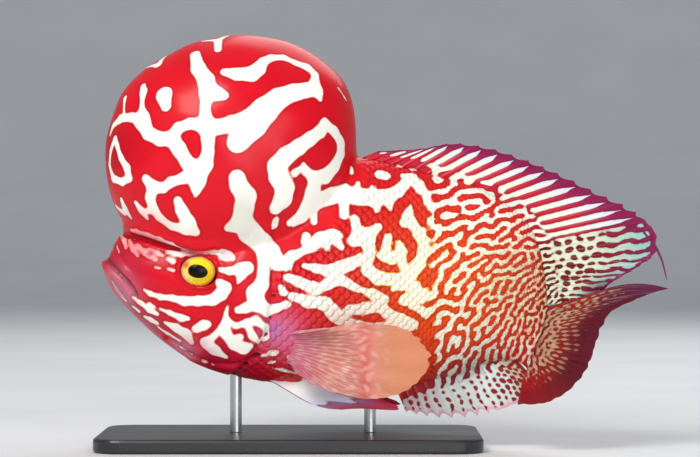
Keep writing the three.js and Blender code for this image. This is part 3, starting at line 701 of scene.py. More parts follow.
def grow_net(seed, held):
    """A labyrinth between -1 and 1, grown from seeded noise. held is (values, where) that it keeps to."""
    random = np.random.default_rng(seed)
    field = random.standard_normal(NET_GRID)
    uneven = np.fft.fft2(random.standard_normal(NET_GRID)) * net_kernel(4, 4, 0, 0)
    uneven = np.fft.ifft2(uneven).real
    uneven *= 0.3 / uneven.std()
    front = net_kernel(NET_UNIT * 1.15, NET_UNIT, math.radians(-28), 0.1)
    rear = net_kernel(NET_UNIT * 1.25, NET_UNIT * 0.95, math.radians(-54), 0.28)
    toward_tail = 1 - smooth((np.linspace(0, 1, NET_GRID[1]) - 0.6) / 0.3)[None, :]
    for _ in range(NET_ROUNDS):
        wave = np.fft.fft2(field)
        grown = mix(np.fft.ifft2(wave * front).real, np.fft.ifft2(wave * rear).real, toward_tail)
        field = mix(np.tanh(grown * 5 + NET_PALER + uneven), held[0], held[1])
    return field


def net_places(px, py):
    """Row and column of a picture place in the labyrinth's grid, and its distance from the focus."""
    dx, dy = NET_FOCUS[0] - px, NET_FOCUS[1] - py
    r = np.hypot(dx, dy)
    column = np.log(np.clip(r, NET_NEAR, NET_FAR) / NET_NEAR) / NET_STEP
    row = (np.arctan2(dy, dx) - NET_LOW) / (NET_HIGH - NET_LOW) * NET_GRID[0]
    return row, column, r


def sample(grid, row, column):
    """A grid's value between its cells."""
    row = np.clip(row, 0, grid.shape[0] - 1.001)
    column = np.clip(column, 0, grid.shape[1] - 1.001)
    i, j = row.astype(int), column.astype(int)
    a, b = row - i, column - j
    top = mix(grid[i, j], grid[i, j + 1], b)
    return mix(top, mix(grid[i + 1, j], grid[i + 1, j + 1], b), a)


class Markings:
    """All that decides where the skin is light."""

    def __init__(self, tree):
        self.hump = stroke_segments(HUMP_STROKES, tree)
        self.face = stroke_segments(FACE_STROKES, tree)
        self.shoulder = stroke_segments(SHOULDER_STROKES, tree)
        angle = NET_LOW + (NET_HIGH - NET_LOW) * np.arange(NET_GRID[0])[:, None] / NET_GRID[0]
        r = (NET_NEAR * np.exp(np.arange(NET_GRID[1]) * NET_STEP))[None, :]
        px = NET_FOCUS[0] - r * np.cos(angle)
        x, z = from_picture(px, NET_FOCUS[1] - r * np.sin(angle))
        flat = np.array([1, 0, 1])
        rows = [((a * flat, wa), (b * flat, wb)) for (a, wa), (b, wb) in self.shoulder + self.hump]
        points = np.stack([x.ravel(), np.zeros(x.size), z.ravel()], axis=1)
        near = np.flatnonzero(points[:, 0] < 85)
        drawn = np.full(len(points), -1.0)
        drawn[near] = -np.tanh(stroke_field(points[near], rows) / 1.2)
        held = (drawn.reshape(x.shape), 1 - smooth((px - 405) / 35))
        self.nets = [grow_net(seed, held) for seed in NET_SEEDS]

    def field(self, points):
        """Signed distance in millimetres to the light marks, at places in millimetres."""
        x, z = points[:, 0], points[:, 2]
        y = points[:, 1] - bend(x)
        left = np.stack([x, -np.abs(y), z], axis=1)
        sway = np.stack([4 * np.sin(z * 0.09 + 1), 0 * z, 4 * np.sin(x * 0.08 + 2)], axis=1)
        left += sway * smooth((y - 1) / 8)[:, None]
        drawn = stroke_field(left, self.hump + self.face)
        shoulder = stroke_field(left, self.shoulder)
        px, py = to_picture(left[:, 0], left[:, 2])
        row, column, r = net_places(px, py)
        left_net, right_net = (sample(net, row, column) for net in self.nets)
        net = -mix(left_net, right_net, smooth((y + 3) / 6)) * r * PIXEL * NET_LINE
        start, end = NET_STARTS
        flank = mix(np.minimum(drawn, shoulder), net, smooth((px - start) / (end - start)))
        return mix(drawn, flank, smooth(away_from(COAT_EDGE, x, z) / 0.5))


# Colours of the ground, of the light marks and of the thin rim between: picture place, reach in pixels, colour.
GROUND = (srgb(216, 4, 28), (
    (448, 298, 92, srgb(234, 72, 6)),
    (556, 300, 50, srgb(166, 30, 22)),
    (470, 385, 42, srgb(146, 36, 30)),
    (128, 268, 34, srgb(192, 16, 46)),
    (116, 280, 17, srgb(194, 92, 112)),
    (126, 297, 18, srgb(196, 108, 132)),
    (150, 325, 16, srgb(194, 66, 94)),
    (226, 371, 38, srgb(190, 18, 50)),
    (184, 349, 16, srgb(216, 122, 146)),
    # Painted shade: a darker red over the hump's left edge.
    (112, 150, 30, srgb(190, 2, 24)),
    (284, 332, 24, srgb(216, 104, 142)),
    (276, 328, 9, srgb(196, 112, 170)),
    (352, 360, 42, srgb(224, 84, 62)),
))
MARKS = (srgb(253, 252, 242), (
    (245, 222, 30, srgb(226, 224, 212)),
    (425, 275, 80, srgb(253, 248, 220)),
    (530, 290, 70, srgb(212, 214, 176)),
    (480, 375, 40, srgb(200, 200, 184)),
    (142, 250, 30, srgb(236, 132, 146)),
    (196, 354, 20, srgb(240, 176, 186)),
    (118, 290, 15, srgb(206, 150, 166)),
    (200, 250, 14, srgb(226, 130, 140)),
    (150, 237, 22, srgb(232, 150, 156)),
    (229, 256, 9, srgb(226, 206, 204)),
    (300, 340, 26, srgb(240, 190, 190)),
    (355, 360, 44, srgb(240, 168, 134)),
))
RIM = (srgb(236, 120, 110), (
    (410, 270, 55, srgb(250, 176, 40)),
    (470, 270, 55, srgb(246, 150, 60)),
    (530, 290, 45, srgb(226, 130, 80)),
    (480, 375, 40, srgb(176, 110, 80)),
))


def zone_colour(zones, px, py):
    colour, spots = zones
    colour = np.tile(colour, (len(px), 1))
    for cx, cy, reach, tint in spots:
        weight = np.exp(-(((px - cx) ** 2 + (py - cy) ** 2) / (2 * (reach * 0.62) ** 2)))[:, None]
        colour = mix(colour, tint, np.minimum(1, weight * 1.25))
    return colour


def paint(obj, points, marks, shade=1.0):
    """The mark field and the colours on a piece's vertices, with painted shade darkening the folds where a shade is
    given.
    """
    shade = np.broadcast_to(shade, len(points))[:, None]
    at = to_picture(points[:, 0], points[:, 2])
    put_marks(obj, marks, *(zone_colour(zones, *at) * shade for zones in (GROUND, MARKS, RIM)))


# Finishes.
class Finish:
    """A material while it is made. What goes into a socket is a plain value or another node's output."""

    def __init__(self, name):
        material = bpy.data.materials.new(name)
        material.use_nodes = True
        self.tree = material.node_tree

    def put(self, socket, value):
        if isinstance(value, bpy.types.NodeSocket):
            self.tree.links.new(value, socket)
        else:
            socket.default_value = value

    def fill(self, node, inputs):
        for key, value in inputs.items():
            self.put(node.inputs[key.replace("_", " ")], value)

    def node(self, kind, *values, settings=(), **inputs):
        """A new node: its first sockets by their order, others by name, and its own settings."""
        made = self.tree.nodes.new("ShaderNode" + kind)
        for key, value in settings:
            setattr(made, key, value)
        for socket, value in zip(made.inputs, values):
            self.put(socket, value)
        self.fill(made, inputs)
        return made

    def surface(self, **inputs):
        self.fill(self.tree.nodes["Principled BSDF"], inputs)

    def attribute(self, name, output="Color"):
        return self.node("Attribute", settings=[("attribute_name", name)]).outputs[output]

    def noise(self, scale, detail):
        place = self.node("TexCoord").outputs["Object"]
        return self.node("TexNoise", Vector=place, Scale=scale, Detail=detail).outputs["Fac"]

    def maths(self, operation, *values):
        return self.node("Math", *values, settings=[("operation", operation)]).outputs[0]

    def step(self, value, start, end):
        """0 where the value is at start, 1 at end, smooth between."""
        smoothed = [("interpolation_type", "SMOOTHSTEP")]
        return self.node("MapRange", settings=smoothed, Value=value, From_Min=start, From_Max=end).outputs["Result"]

    def mixed(self, factor, first, second):
        """The first colour where the factor is 0, the second where it is 1."""
        return self.node("Mix", settings=[("data_type", "RGBA")], Factor=factor, A=first, B=second).outputs["Result"]

    def scaled(self, colour, share):
        return self.node("VectorMath", colour, settings=[("operation", "SCALE")], Scale=share).outputs["Vector"]

    def mottled(self, colour, noise, low, high):
        """A colour that the noise makes darker and lighter, between two shares of it."""
        share = self.node("MapRange", Value=noise, To_Min=low, To_Max=high).outputs["Result"]
        return self.scaled(colour, share)

    def relief(self, height, strength, distance):
        return self.node("Bump", Height=height, Strength=strength, Distance=distance).outputs["Normal"]


def make_marked(name, rough=0.42, coat=0.26, wobble=0.24, alpha=1.0):
    """Two colours parted where the mark field crosses zero, with a thin rim and a darker line between them."""
    finish = Finish(name)
    ripple = finish.maths("MULTIPLY_ADD", finish.noise(420, 2), wobble * 2, -wobble)
    field = finish.maths("ADD", finish.attribute("marks", "Fac"), ripple)
    ground = finish.attribute("ground")
    colour = finish.mixed(finish.step(field, 1.3, 0.3), ground, finish.scaled(ground, 0.72))
    colour = finish.mixed(finish.step(field, 0.2, -0.1), colour, finish.attribute("rim"))
    colour = finish.mixed(finish.step(field, -0.05, -0.6), colour, finish.attribute("light"))
    finish.surface(
        Base_Color=finish.mottled(colour, finish.noise(60, 4), 0.84, 1.1),
        Roughness=rough,
        Specular_IOR_Level=0.12,
        Coat_Weight=coat,
        Coat_Roughness=0.2,
        Alpha=alpha,
        Normal=finish.relief(finish.noise(1800, 2), 0.12, 0.0003),
    )


# The eye's colours from the middle of the pupil to the rim of the ball, and the tints over its front and its corner.
EYE_RINGS = (
    (0.0, srgb(8, 6, 8)),
    (0.47, srgb(10, 8, 9)),
    (0.5, srgb(110, 74, 8)),
    (0.53, srgb(255, 224, 24)),
    (0.76, srgb(255, 232, 60)),
    (0.84, srgb(250, 186, 30)),
    (0.9, srgb(236, 180, 130)),
    (0.94, srgb(40, 16, 12)),
)
EYE_TINTS = (("pale", srgb(252, 214, 140)), ("brown", srgb(206, 104, 52)))


def make_eye_ball_finish():
    finish = Finish("eye_ball")
    ramp = finish.node("ValToRGB", Fac=finish.attribute("ring", "Fac"))
    stops = ramp.color_ramp.elements
    while len(stops) < len(EYE_RINGS):
        stops.new(0.5)
    for stop, (at, colour) in zip(stops, EYE_RINGS):
        stop.position = at
        stop.color = (*colour, 1)
    colour = ramp.outputs["Color"]
    for name, tint in EYE_TINTS:
        colour = finish.mixed(finish.attribute(name, "Fac"), colour, (*tint, 1))
    finish.surface(
        Base_Color=finish.mottled(colour, finish.noise(900, 4), 0.8, 1.12),
        Roughness=0.3,
        Specular_IOR_Level=0.1,
        Coat_Weight=0.09,
        Coat_Roughness=0.03,
    )


def make_plain(name, colour, rough, metal, grain, depth):
    finish = Finish(name)
    noise = finish.noise(grain, 4)
    finish.surface(
        Base_Color=finish.mottled(colour, noise, 0.9, 1.08),
        Roughness=rough,
        Metallic=metal,
        Normal=finish.relief(noise, 0.2, depth),
    )


def make_finishes():
    make_marked("marked_skin")
    make_marked("marked_fin", coat=0.25, wobble=0.3)
    make_marked("clear_web", rough=0.4, coat=0.2, wobble=0.2, alpha=0.72)
    make_eye_ball_finish()
    make_plain("black_base", (0.02, 0.02, 0.022), 0.32, 0.0, 400, 0.00005)
    make_plain("steel_rod", (0.55, 0.55, 0.56), 0.28, 1.0, 900, 0.00002)
    make_plain("pale_floor", (0.78, 0.79, 0.8), 0.7, 0.0, 6, 0.0005)


# Eyes.
def make_eye(name, sign):
    """A ball with a raised lens, and on it the ring value that its colours follow."""
    low, high = (np.array(c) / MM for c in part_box(name))
    centre, half = (low + high) / 2 + EYE_SHIFT, (high - low) / 2
    eye, p = unit_ball(name + "_detail", 72, 48)
    p = p[:, [0, 2, 1]]
    lens = 0.10 * (1 - smooth((np.hypot(p[:, 0], p[:, 2]) - 0.45) / 0.25))
    p[:, 1] *= np.where(p[:, 1] * sign > 0, 1 + lens, 1)
    put_places(eye, centre + p * half * EYE_STRETCH)
    turned_out(eye)
    q = (places(eye) - centre) / half
    along, across = turned(q[:, 0] + 0.06, q[:, 2] - 0.02, EYE_TILT)
    pupil, rim = np.hypot(along / 1.14, across / 0.82), np.hypot(q[:, 0], q[:, 2])
    ring = mix(pupil, rim, smooth((rim - 0.5) / 0.3))
    front = smooth((-q[:, 0] - 0.15) / 0.5)
    corner = ridge(q[:, 0], -0.72, 0.2) * ridge(q[:, 2], 0.42, 0.24)
    put_number(eye, "ring", np.where(q[:, 1] * sign > 0, ring, 1))
    put_number(eye, "pale", front * smooth((ring - 0.5) / 0.2) * 0.75)
    put_number(eye, "brown", np.minimum(1, corner * smooth((ring - 0.5) / 0.05)))
    finish_piece(eye, "eye_ball", "eye", name)


# Scales.
class Coat:
    """Places on the body in scale columns, from gill to tail, and scale rows, up and down from the mid flank."""

    STEPS = 400
    MOST_ROWS = 30

    def __init__(self):
        self.t = np.linspace(0, 1, self.STEPS)
        angle = np.linspace(-math.pi / 2, math.pi / 2, 121)
        t, turn = np.meshgrid(self.t, angle, indexing="ij")
        grid = flesh_point(t, np.cos(turn), np.sin(turn))
        arc = np.cumsum(np.linalg.norm(np.diff(grid, axis=1, prepend=grid[:, :1]), axis=2), axis=1)
        arc -= arc[:, 60:61]
        middle = grid[:, 60]
        self.size = mix(SCALE_BIG, SCALE_SMALL, smooth((middle[:, 0] - 5) / 115))
        step = np.linalg.norm(np.diff(middle, axis=0, prepend=middle[:1]), axis=1)
        self.column = np.cumsum(step / self.size)
        half_rows = np.arange(-2 * self.MOST_ROWS, 2 * self.MOST_ROWS + 1) * 0.5
        self.angle = np.array([np.interp(half_rows * w / 2, a, angle) for w, a in zip(self.size, arc)])
        self.low, self.high = arc[:, 0] / self.size * 2, arc[:, -1] / self.size * 2

    def place(self, side, column, row):
        t = np.interp(column, self.column, self.t)
        turn = sample(self.angle, t * (self.STEPS - 1), (row + self.MOST_ROWS) * 2)
        return flesh_point(t, side * np.cos(turn), np.sin(turn))

    def has(self, column, row):
        t = np.interp(column, self.column, self.t)
        return (row > np.interp(t, self.t, self.low) + 1.3) & (row < np.interp(t, self.t, self.high) - 1.3)

    def roots(self, side):
        """Column, row and place of each scale on one flank. Every second place in a row is left to the next row."""
        columns = np.arange(0, int(self.column[-1]) * 2 - 1)
        c, r = np.meshgrid(columns / 2, np.arange(-self.MOST_ROWS, self.MOST_ROWS + 1), indexing="ij")
        paired = (columns[:, None] + r) % 2 == 0
        c, r = c[paired], r[paired]
        root = self.place(side, c, r)
        x, z = root[:, 0], root[:, 2]
        under_hump = np.hypot(x - HUMP_AT[0], z - HUMP_AT[1]) < 66
        behind_gill = away_from(COAT_EDGE, x, z) > 2.2
        kept = self.has(c, r) & behind_gill & ~under_hump & (x > -40) & ~((z > 112) & (x < 2))
        return c[kept], r[kept], root[kept]


SCALE_ACROSS = 7
SCALE_ALONG = 5


def scale_plate():
    """One scale on a unit square made round: its corners, height and faces, the skirt and floor included."""
    a, b = np.meshgrid(np.linspace(-1, 1, SCALE_ACROSS), np.linspace(-1, 1, SCALE_ALONG), indexing="ij")
    across = (a * np.sqrt(1 - b * b / 2)).ravel()
    along = (b * np.sqrt(1 - a * a / 2)).ravel()
    rise = smooth((along + 1) / 1.6)
    dome = 0.07 * (1 - across ** 2) - 0.08 * smooth((np.hypot(across, along) - 0.75) / 0.25)
    height = mix(-0.45, 0.30, rise) + dome
    at = np.arange(SCALE_ACROSS * SCALE_ALONG).reshape(SCALE_ACROSS, SCALE_ALONG)
    rim = grid_rim(at)
    under = at.size + np.arange(len(rim))
    skirt = np.stack([np.roll(rim, -1), rim, under, np.roll(under, -1)], axis=1)
    faces = [*grid_quads(at).tolist(), *skirt.tolist(), under[::-1].tolist()]
    across = np.append(across, across[rim])
    along = np.append(along, along[rim])
    height = np.append(height, height[rim] - 0.5)
    return across, along, height, faces


def lay_on(tree, points):
    """The nearest places on the skin, in millimetres, and the way out from it there."""
    on_skin, out = np.empty_like(points), np.empty_like(points)
    for k, q in enumerate(points):
        on_skin[k], out[k] = tree.find_nearest(Vector(q * MM))[:2]
    return on_skin / MM, out


def lay_out_scales(mesh, u, v):
    """The coat's map for baking, from the two map values of every vertex."""
    layer = mesh.uv_layers.new(name="OFBake")
    corner = np.empty(len(mesh.loops), int)
    mesh.loops.foreach_get("vertex_index", corner)
    uv = 0.02 + np.stack([u[corner], v[corner]], axis=1)
    layer.data.foreach_set("uv", uv.astype(np.float32).ravel())


def make_scales(name, side, coat, tree, markings):
    """Overlapping scales on one flank, each a closed plate that lies on the skin with its free edge to the tail."""
    random = np.random.default_rng(21 + side)
    across, along, height, faces = scale_plate()
    c, r, root = coat.roots(side)
    turn = random.uniform(-0.06, 0.06, len(c))[:, None]
    grow = random.uniform(0.95, 1.06, len(c))[:, None]
    columns = c[:, None] + (along * 0.78 - 0.1) * grow + turn * across
    rows = r[:, None] + across * 1.12 * grow
    on_skin, out = lay_on(tree, coat.place(side, columns.ravel(), rows.ravel()))
    chest = smooth((62 - root[:, 2]) / 14) * smooth((24 - root[:, 0]) / 16)
    thick = np.interp(c, coat.column, coat.size) / SCALE_BIG * (1 - 0.45 * chest)
    points = on_skin + out * (height * thick[:, None]).reshape(-1, 1)
    all_faces = [tuple(v + k * len(across) for v in face) for k in range(len(c)) for face in faces]
    scales = new_mesh("scales_" + name, points, all_faces)
    turned_out(scales, merged=False)
    u = 0.96 * c / coat.column[-1]
    v = 0.96 * (r + Coat.MOST_ROWS) / (2 * Coat.MOST_ROWS)
    lay_out_scales(scales.data, (u[:, None] + 0.0015 * along).ravel(), (v[:, None] + 0.0015 * across).ravel())
    shift = random.uniform(-0.22, 0.22, len(c))[:, None]
    rear = smooth((root[:, 0] - 40) / 30)[:, None]
    scalloped = 0.2 * rear * smooth((along - 0.3) / 0.6)
    paint(scales, points, markings.field(on_skin) + (shift + scalloped).ravel())
    finish_piece(scales, "marked_skin", "skin")


# Fins. Key rays are root x, root z, tip x and tip z in the side view.
DORSAL_KEYS = (
    (36, 144, 44, 147.5),
    (47.5, 142, 67.4, 148.9),
    (60, 139.2, 80.8, 151.3),
    (74.9, 135.2, 99.4, 148.7),
    (89.6, 130.5, 117.3, 142.5),
    (103.3, 124.2, 133, 135.5),
    (113.9, 116.2, 150.4, 126.5),
    (120.1, 107, 167, 118.2),
    (123.5, 99.2, 177.8, 109),
    (125, 92.3, 179.7, 98.3),
    (126, 86.4, 169.8, 89.6),
    (126.9, 82, 160.4, 83.7),
    (127.6, 76.6, 150.9, 77),
    (128, 71.6, 141, 72.6),
)
ANAL_KEYS = (
    (54, 26.6, 58, 17.1),
    (60.5, 29.7, 67.4, 15.2),
    (69.9, 32.5, 77.8, 14.3),
    (79.8, 34.5, 89.6, 15.1),
    (88.7, 37.4, 99.4, 17.3),
    (95.5, 40.1, 107.5, 19.9),
    (101.4, 42, 113.5, 22.6),
    (105.7, 42.7, 117, 27.5),
    (109.5, 42.7, 118.5, 32.5),
    (113, 42.6, 118.5, 37.4),
)
CAUDAL_KEYS = (
    (127.3, 70.5, 185.9, 79.9),
    (126.7, 67.6, 178.2, 78),
    (126, 64.8, 168.5, 74.4),
    (124.9, 60.8, 157.4, 68.6),
    (123.8, 56.9, 151.4, 59.6),
    (122.4, 52.4, 148.4, 50),
    (121.1, 47.9, 143.8, 40.1),
    (119.9, 44, 136.1, 30.9),
    (118.6, 40.8, 124.7, 24.2),
    (117.6, 38.8, 111.6, 23.2),
)
PECTORAL_KEYS = (
    (-3, 56.9, 35.8, 63.3),
    (-2.8, 55.4, 56.7, 60.5),
    (-2.5, 53.9, 66.8, 53.7),
    (-2.3, 51.9, 70.2, 44.1),
    (-2, 50, 64.9, 34.8),
    (-1.7, 48, 53.3, 27.4),
    (-1.4, 46, 37.8, 25.9),
    (-1.1, 44.6, 22.2, 29.3),
    (-1, 43.1, 11.5, 33.2),
)
PELVIC_KEYS = (
    (-12, 34, 28, 20),
    (-10.5, 35, 56.5, 19.5),
    (-9, 36, 51, 22.5),
    (-7.5, 37, 42, 25.5),
    (-6, 38, 32, 28),
)
FILAMENT = ((172.6, 107.1), (177.4, 101.2), (181.1, 93.5), (183.5, 83.8))

FIN_EDGE = math.radians(50)
PER_RAY = 8


class Fin:
    """A closed web between rays. Every array runs over rays first and then outwards from the body.

    keys are the rays that give the outline, and the first spines of all rays are spiny, with the web cut back to a
    notch between them. thick is half the thickness at the root, how far a ray's ridge adds to it, and half of that at
    the edge. sideways gives y at x, at a share of the way along the fin and a share of the way out. sink is how far
    the web reaches into the body, and arch how far the first rays bow up.
    """

    def __init__(self, name, keys, sideways, rays, spines, notch, thick, rows, seed, sink=3, arch=0):
        self.name = name
        random = np.random.default_rng(seed)
        keys = np.asarray(keys, float)
        ray = np.linspace(0, rays - 1, (rays - 1) * PER_RAY + 1)
        u = ray / (rays - 1)
        root = spline(np.insert(keys[:, :2], 1, 0, axis=1), u)
        tip = spline(np.insert(keys[:, 2:], 1, 0, axis=1), u)
        from_ray = np.abs(ray - np.round(ray))
        spiny = 1 - smooth(ray - spines + 1)
        fray = np.interp(ray * 3, np.arange(rays * 3), random.uniform(0.965, 1.0, rays * 3))
        reach = mix(fray - 0.02 * from_ray, 1 - (1 - notch) * np.sin(from_ray * math.pi), spiny)
        along = (tip - root) * reach[:, None]
        length = np.linalg.norm(along, axis=1)[:, None]
        start = -sink / length
        v = start + (1 - start) * np.linspace(0, 1, rows + 1)
        p = root[:, None, :] + along[:, None, :] * v[..., None]
        out = np.clip(v, 0, 1)
        p[..., 1] = sideways(p[..., 0], u[:, None], out)
        p[..., 2] += arch * np.sin(math.pi * out ** 1.5) * (1 - smooth(u[:, None] / 0.24))
        p[..., 1] += 0.35 * np.sin(ray[:, None] * 2.1 + 3 * out) * out ** 2
        normal = np.cross(np.gradient(p, axis=0), np.gradient(p, axis=1))
        normal /= np.linalg.norm(normal, axis=2, keepdims=True)
        base, crest, edge = thick
        split = 0.17 * smooth((out - 0.4) / 0.3) * (1 - spiny)[:, None]
        beside = np.abs(from_ray[:, None] - split)
        half = mix(base, edge, smooth(out * 1.15)) + crest * (1 - 0.7 * out) * ridge(beside, 0, 0.12)
        self.ray = np.broadcast_to(ray[:, None], v.shape)
        self.out = out
        self.middle = p
        self.faces = np.stack([p + normal * half[..., None], p - normal * half[..., None]])
        self.spacing = np.linalg.norm(np.gradient(p, axis=0), axis=2) * PER_RAY
        self.margin = (1 - out) * length
        self.from_root = out * length

    def painted(self, marks, ground, light, rim):
        """The fin's mesh, with both faces painted alike."""
        at = np.arange(self.ray.size).reshape(self.ray.shape)
        quads, edge = grid_quads(at), grid_rim(at)
        after = np.roll(edge, -1)
        strip = np.stack([after, edge, edge + at.size, after + at.size], axis=1)
        faces = np.concatenate([quads, quads[:, ::-1] + at.size, strip]).tolist()
        made = new_mesh(self.name, self.faces.reshape(-1, 3), faces)
        turned_out(made, merged=False)
        colours = (np.broadcast_to(rgb, self.ray.shape + (3,)).reshape(-1, 3) for rgb in (ground, light, rim))
        put_marks(made, np.tile(marks.ravel(), 2), *(np.tile(rgb, (2, 1)) for rgb in colours))
        return made


def blend(first, second, weight):
    """A colour between two, where the weight is an array over the fin."""
    return mix(first, second, np.asarray(weight)[..., None])


def dotted(fin, rows_per_ray, step, long, wide, grow, seed):
    """Field of dots in rows along the rays, in millimetres and positive inside a dot."""
    random = np.random.default_rng(seed)
    most = 60
    place = fin.ray * rows_per_ray + 0.12 * np.sin(fin.from_root * 0.5 + fin.ray)
    row = np.round(place).astype(int)
    across = np.abs(place - row) / rows_per_ray * fin.spacing
    count = row.max() + 1
    spot = fin.from_root / step + random.uniform(-0.2, 0.2, count)[row] + (row % 2) * 0.5
    number = np.clip(np.floor(spot).astype(int), 0, most - 1)
    vary = random.uniform(0.72, 1.2, (count, most))[row, number]
    slip = random.uniform(-0.12, 0.12, (count, most))[row, number]
    along = (spot % 1 - 0.5 + slip) * step
    stretch = mix(1, grow, smooth((fin.out - 0.35) / 0.35))
    size = wide * vary
    r = np.hypot(across / size, along / (long * vary * stretch))
    return (1 - r) * size


def run_over(fin, markings, marks, start, width):
    """The fin's marks, with the body's own running on over its root."""
    flat = fin.middle.reshape(-1, 3) - np.array([0, 6, 0])
    body = markings.field(flat).reshape(fin.ray.shape)
    return mix(marks, body, 1 - smooth((fin.from_root - start) / width))


def make_dorsal(markings):
    def sideways(x, u, v):
        return bend(x) + 1.6 * smooth((u - 0.8) / 0.15) * v

    name, thick = "fin_dorsal_detail", (1.2, 0.5, 0.22)
    fin = Fin(name, DORSAL_KEYS, sideways, rays=30, spines=17, notch=0.945, thick=thick, rows=54, seed=44)
    off_web = np.abs(fin.ray % 1 - 0.5)
    strip = (off_web - 0.245 * (1 - smooth((fin.out - 0.72) / 0.25))) * fin.spacing
    soft = smooth((fin.ray - 16.6) / 1.2)
    marks = mix(strip, dotted(fin, 0.85, 5.2, 1.9, 1.5, 2.1, 3), soft)
    marks = run_over(fin, markings, marks, 3, 6)
    band = mix(1.6, 2.6, soft) * (1 - 0.6 * smooth((fin.ray - 23) / 4))
    marks = np.maximum(marks, (band - fin.margin) * 0.8)
    far = smooth((fin.out - 0.35) / 0.6)
    ground = blend(srgb(196, 22, 48), srgb(132, 18, 74), far)
    ground = blend(ground, srgb(116, 12, 22), soft * (1 - far))
    ground = blend(ground, srgb(70, 24, 40), smooth((fin.ray - 24) / 3) * far * 0.8)
    light = blend(srgb(232, 236, 220), srgb(216, 218, 232), far)
    light = blend(light, blend(srgb(222, 224, 196), srgb(150, 190, 182), far), soft)
    light = blend(light, srgb(84, 88, 84), smooth((fin.ray - 22) / 4) * smooth((fin.out - 0.6) / 0.3) * 0.75)
    web = fin.painted(marks, ground, light, light * 0.8)
    finish_piece(joined([web, make_filament()], name), "marked_fin", "fin", "fin_dorsal", edge=FIN_EDGE)


def make_filament():
    """The thread that hangs from the tip of the dorsal fin."""
    path = spline([(x, 0, z) for x, z in FILAMENT], np.linspace(0, 1, 25))
    path[:, 1] = bend(path[:, 0])
    along = np.gradient(path, axis=0)
    along /= np.linalg.norm(along, axis=1, keepdims=True)
    side = np.cross(along, np.array([0, 1.0, 0]))
    sides = 10
    turn = 2 * math.pi * np.arange(sides)[:, None] / sides
    radius = 0.75 * (1 - np.arange(len(path)) / len(path)) ** 0.7 + 0.12
    ring = side[:, None] * np.cos(turn) + np.array([0, 0.7, 0]) * np.sin(turn)
    points = (path[:, None] + radius[:, None, None] * ring).reshape(-1, 3)
    at = np.arange(len(points)).reshape(len(path), sides)
    wrapped = np.hstack([at, at[:, :1]])
    faces = [*grid_quads(wrapped)[:, [0, 3, 2, 1]].tolist(), at[0, ::-1].tolist(), at[-1].tolist()]
    made = new_mesh("filament", points, faces)
    colours = (srgb(112, 22, 84), srgb(150, 60, 120), srgb(130, 40, 100))
    put_marks(made, np.full(len(points), 2.0), *(np.tile(rgb, (len(points), 1)) for rgb in colours))
    turned_out(made)
    return made


def make_anal(markings):
    def sideways(x, u, v):
        return bend(x)

    name, thick = "fin_anal_detail", (1.1, 0.4, 0.22)
    fin = Fin(name, ANAL_KEYS, sideways, rays=17, spines=8, notch=0.86, thick=thick, rows=40, seed=29)
    marks = run_over(fin, markings, dotted(fin, 1.15, 3.7, 1.3, 1.15, 1.2, 7), 1, 4)
    marks = np.minimum(marks, (fin.margin - 1.4) * 1.2)
    marks = np.maximum(marks, (fin.ray - 15.1) * 1.5)
    front = 1 - smooth((fin.ray - 1) / 4)
    ground = blend(srgb(160, 26, 32), srgb(190, 26, 44), front)
    light = blend(srgb(218, 226, 222), srgb(226, 214, 216), front)
    light = blend(light, srgb(196, 182, 150), smooth((fin.ray - 10) / 4))
    light = blend(light, srgb(232, 170, 186), 1 - smooth((fin.margin - 0.4) / 2))
    web = fin.painted(marks, ground, light, light * 0.85)
    finish_piece(web, "marked_fin", "fin", "fin_anal", edge=FIN_EDGE)


def caudal_streaks(fin):
    """Fine streaks between the rays, that break up and end at uneven lengths."""
    random = np.random.default_rng(4)
    fine = fin.ray * 1.8
    row = fine.astype(int)
    reach = random.uniform(0.42, 0.72, row.max() + 1)[row]
    broken = np.sin(fin.from_root * 1.3 + random.uniform(0, 6, row.max() + 1)[row])
    streak = (np.abs(fine % 1 - 0.5) - 0.25 * (1 - smooth((fin.out - reach) / 0.12))) * fin.spacing / 1.8
    return streak + 0.22 + 0.3 * broken


def make_caudal(markings):
    def sideways(x, u, v):
        return bend(x) - 20 * smooth(u * 1.1) * v * v

    name, thick = "fin_caudal_detail", (1.3, 0.45, 0.22)
    fin = Fin(name, CAUDAL_KEYS, sideways, rays=18, spines=0, notch=0.98, thick=thick, rows=60, seed=32, arch=5.2)
    lobe = 1 - smooth((fin.ray - 1.5) / 2.5)
    low = smooth((fin.ray - 12) / 4)
    dots = mix(dotted(fin, 1.3, 3.6, 1.2, 0.95, 1.2, 9), -dotted(fin, 0.9, 4.4, 1.7, 1.15, 1.2, 9), lobe)
    marks = mix(dots, caudal_streaks(fin), smooth((fin.out - 0.28) / 0.12) * (1 - lobe))
    marks = run_over(fin, markings, marks, 2, 7)
    marks = np.maximum(marks, (mix(5, 1.6, lobe) - fin.margin) * 0.8)
    marks = np.maximum(marks, (1.1 - fin.ray) * 1.6)
    marks += lobe * smooth((fin.out - 0.55) / 0.4) * 0.9 + low * 0.5
    far = smooth((fin.out - 0.3) / 0.5)
    ground = blend(srgb(160, 36, 28), srgb(92, 16, 36), far)
    ground = blend(ground, srgb(92, 16, 56), lobe * far)
    ground = blend(ground, srgb(164, 18, 22), low * (1 - far * 0.5))
    light = blend(srgb(192, 152, 120), srgb(146, 94, 80), far)
    web = fin.painted(marks, ground, light, light * 0.8)
    finish_piece(web, "marked_fin", "fin", "fin_caudal", edge=FIN_EDGE)


def on_side(x, y, side):
    """y for the left fin as it is, and mirrored in the bent middle plane for the right one."""
    return y if side == "left" else 2 * bend(x) - y


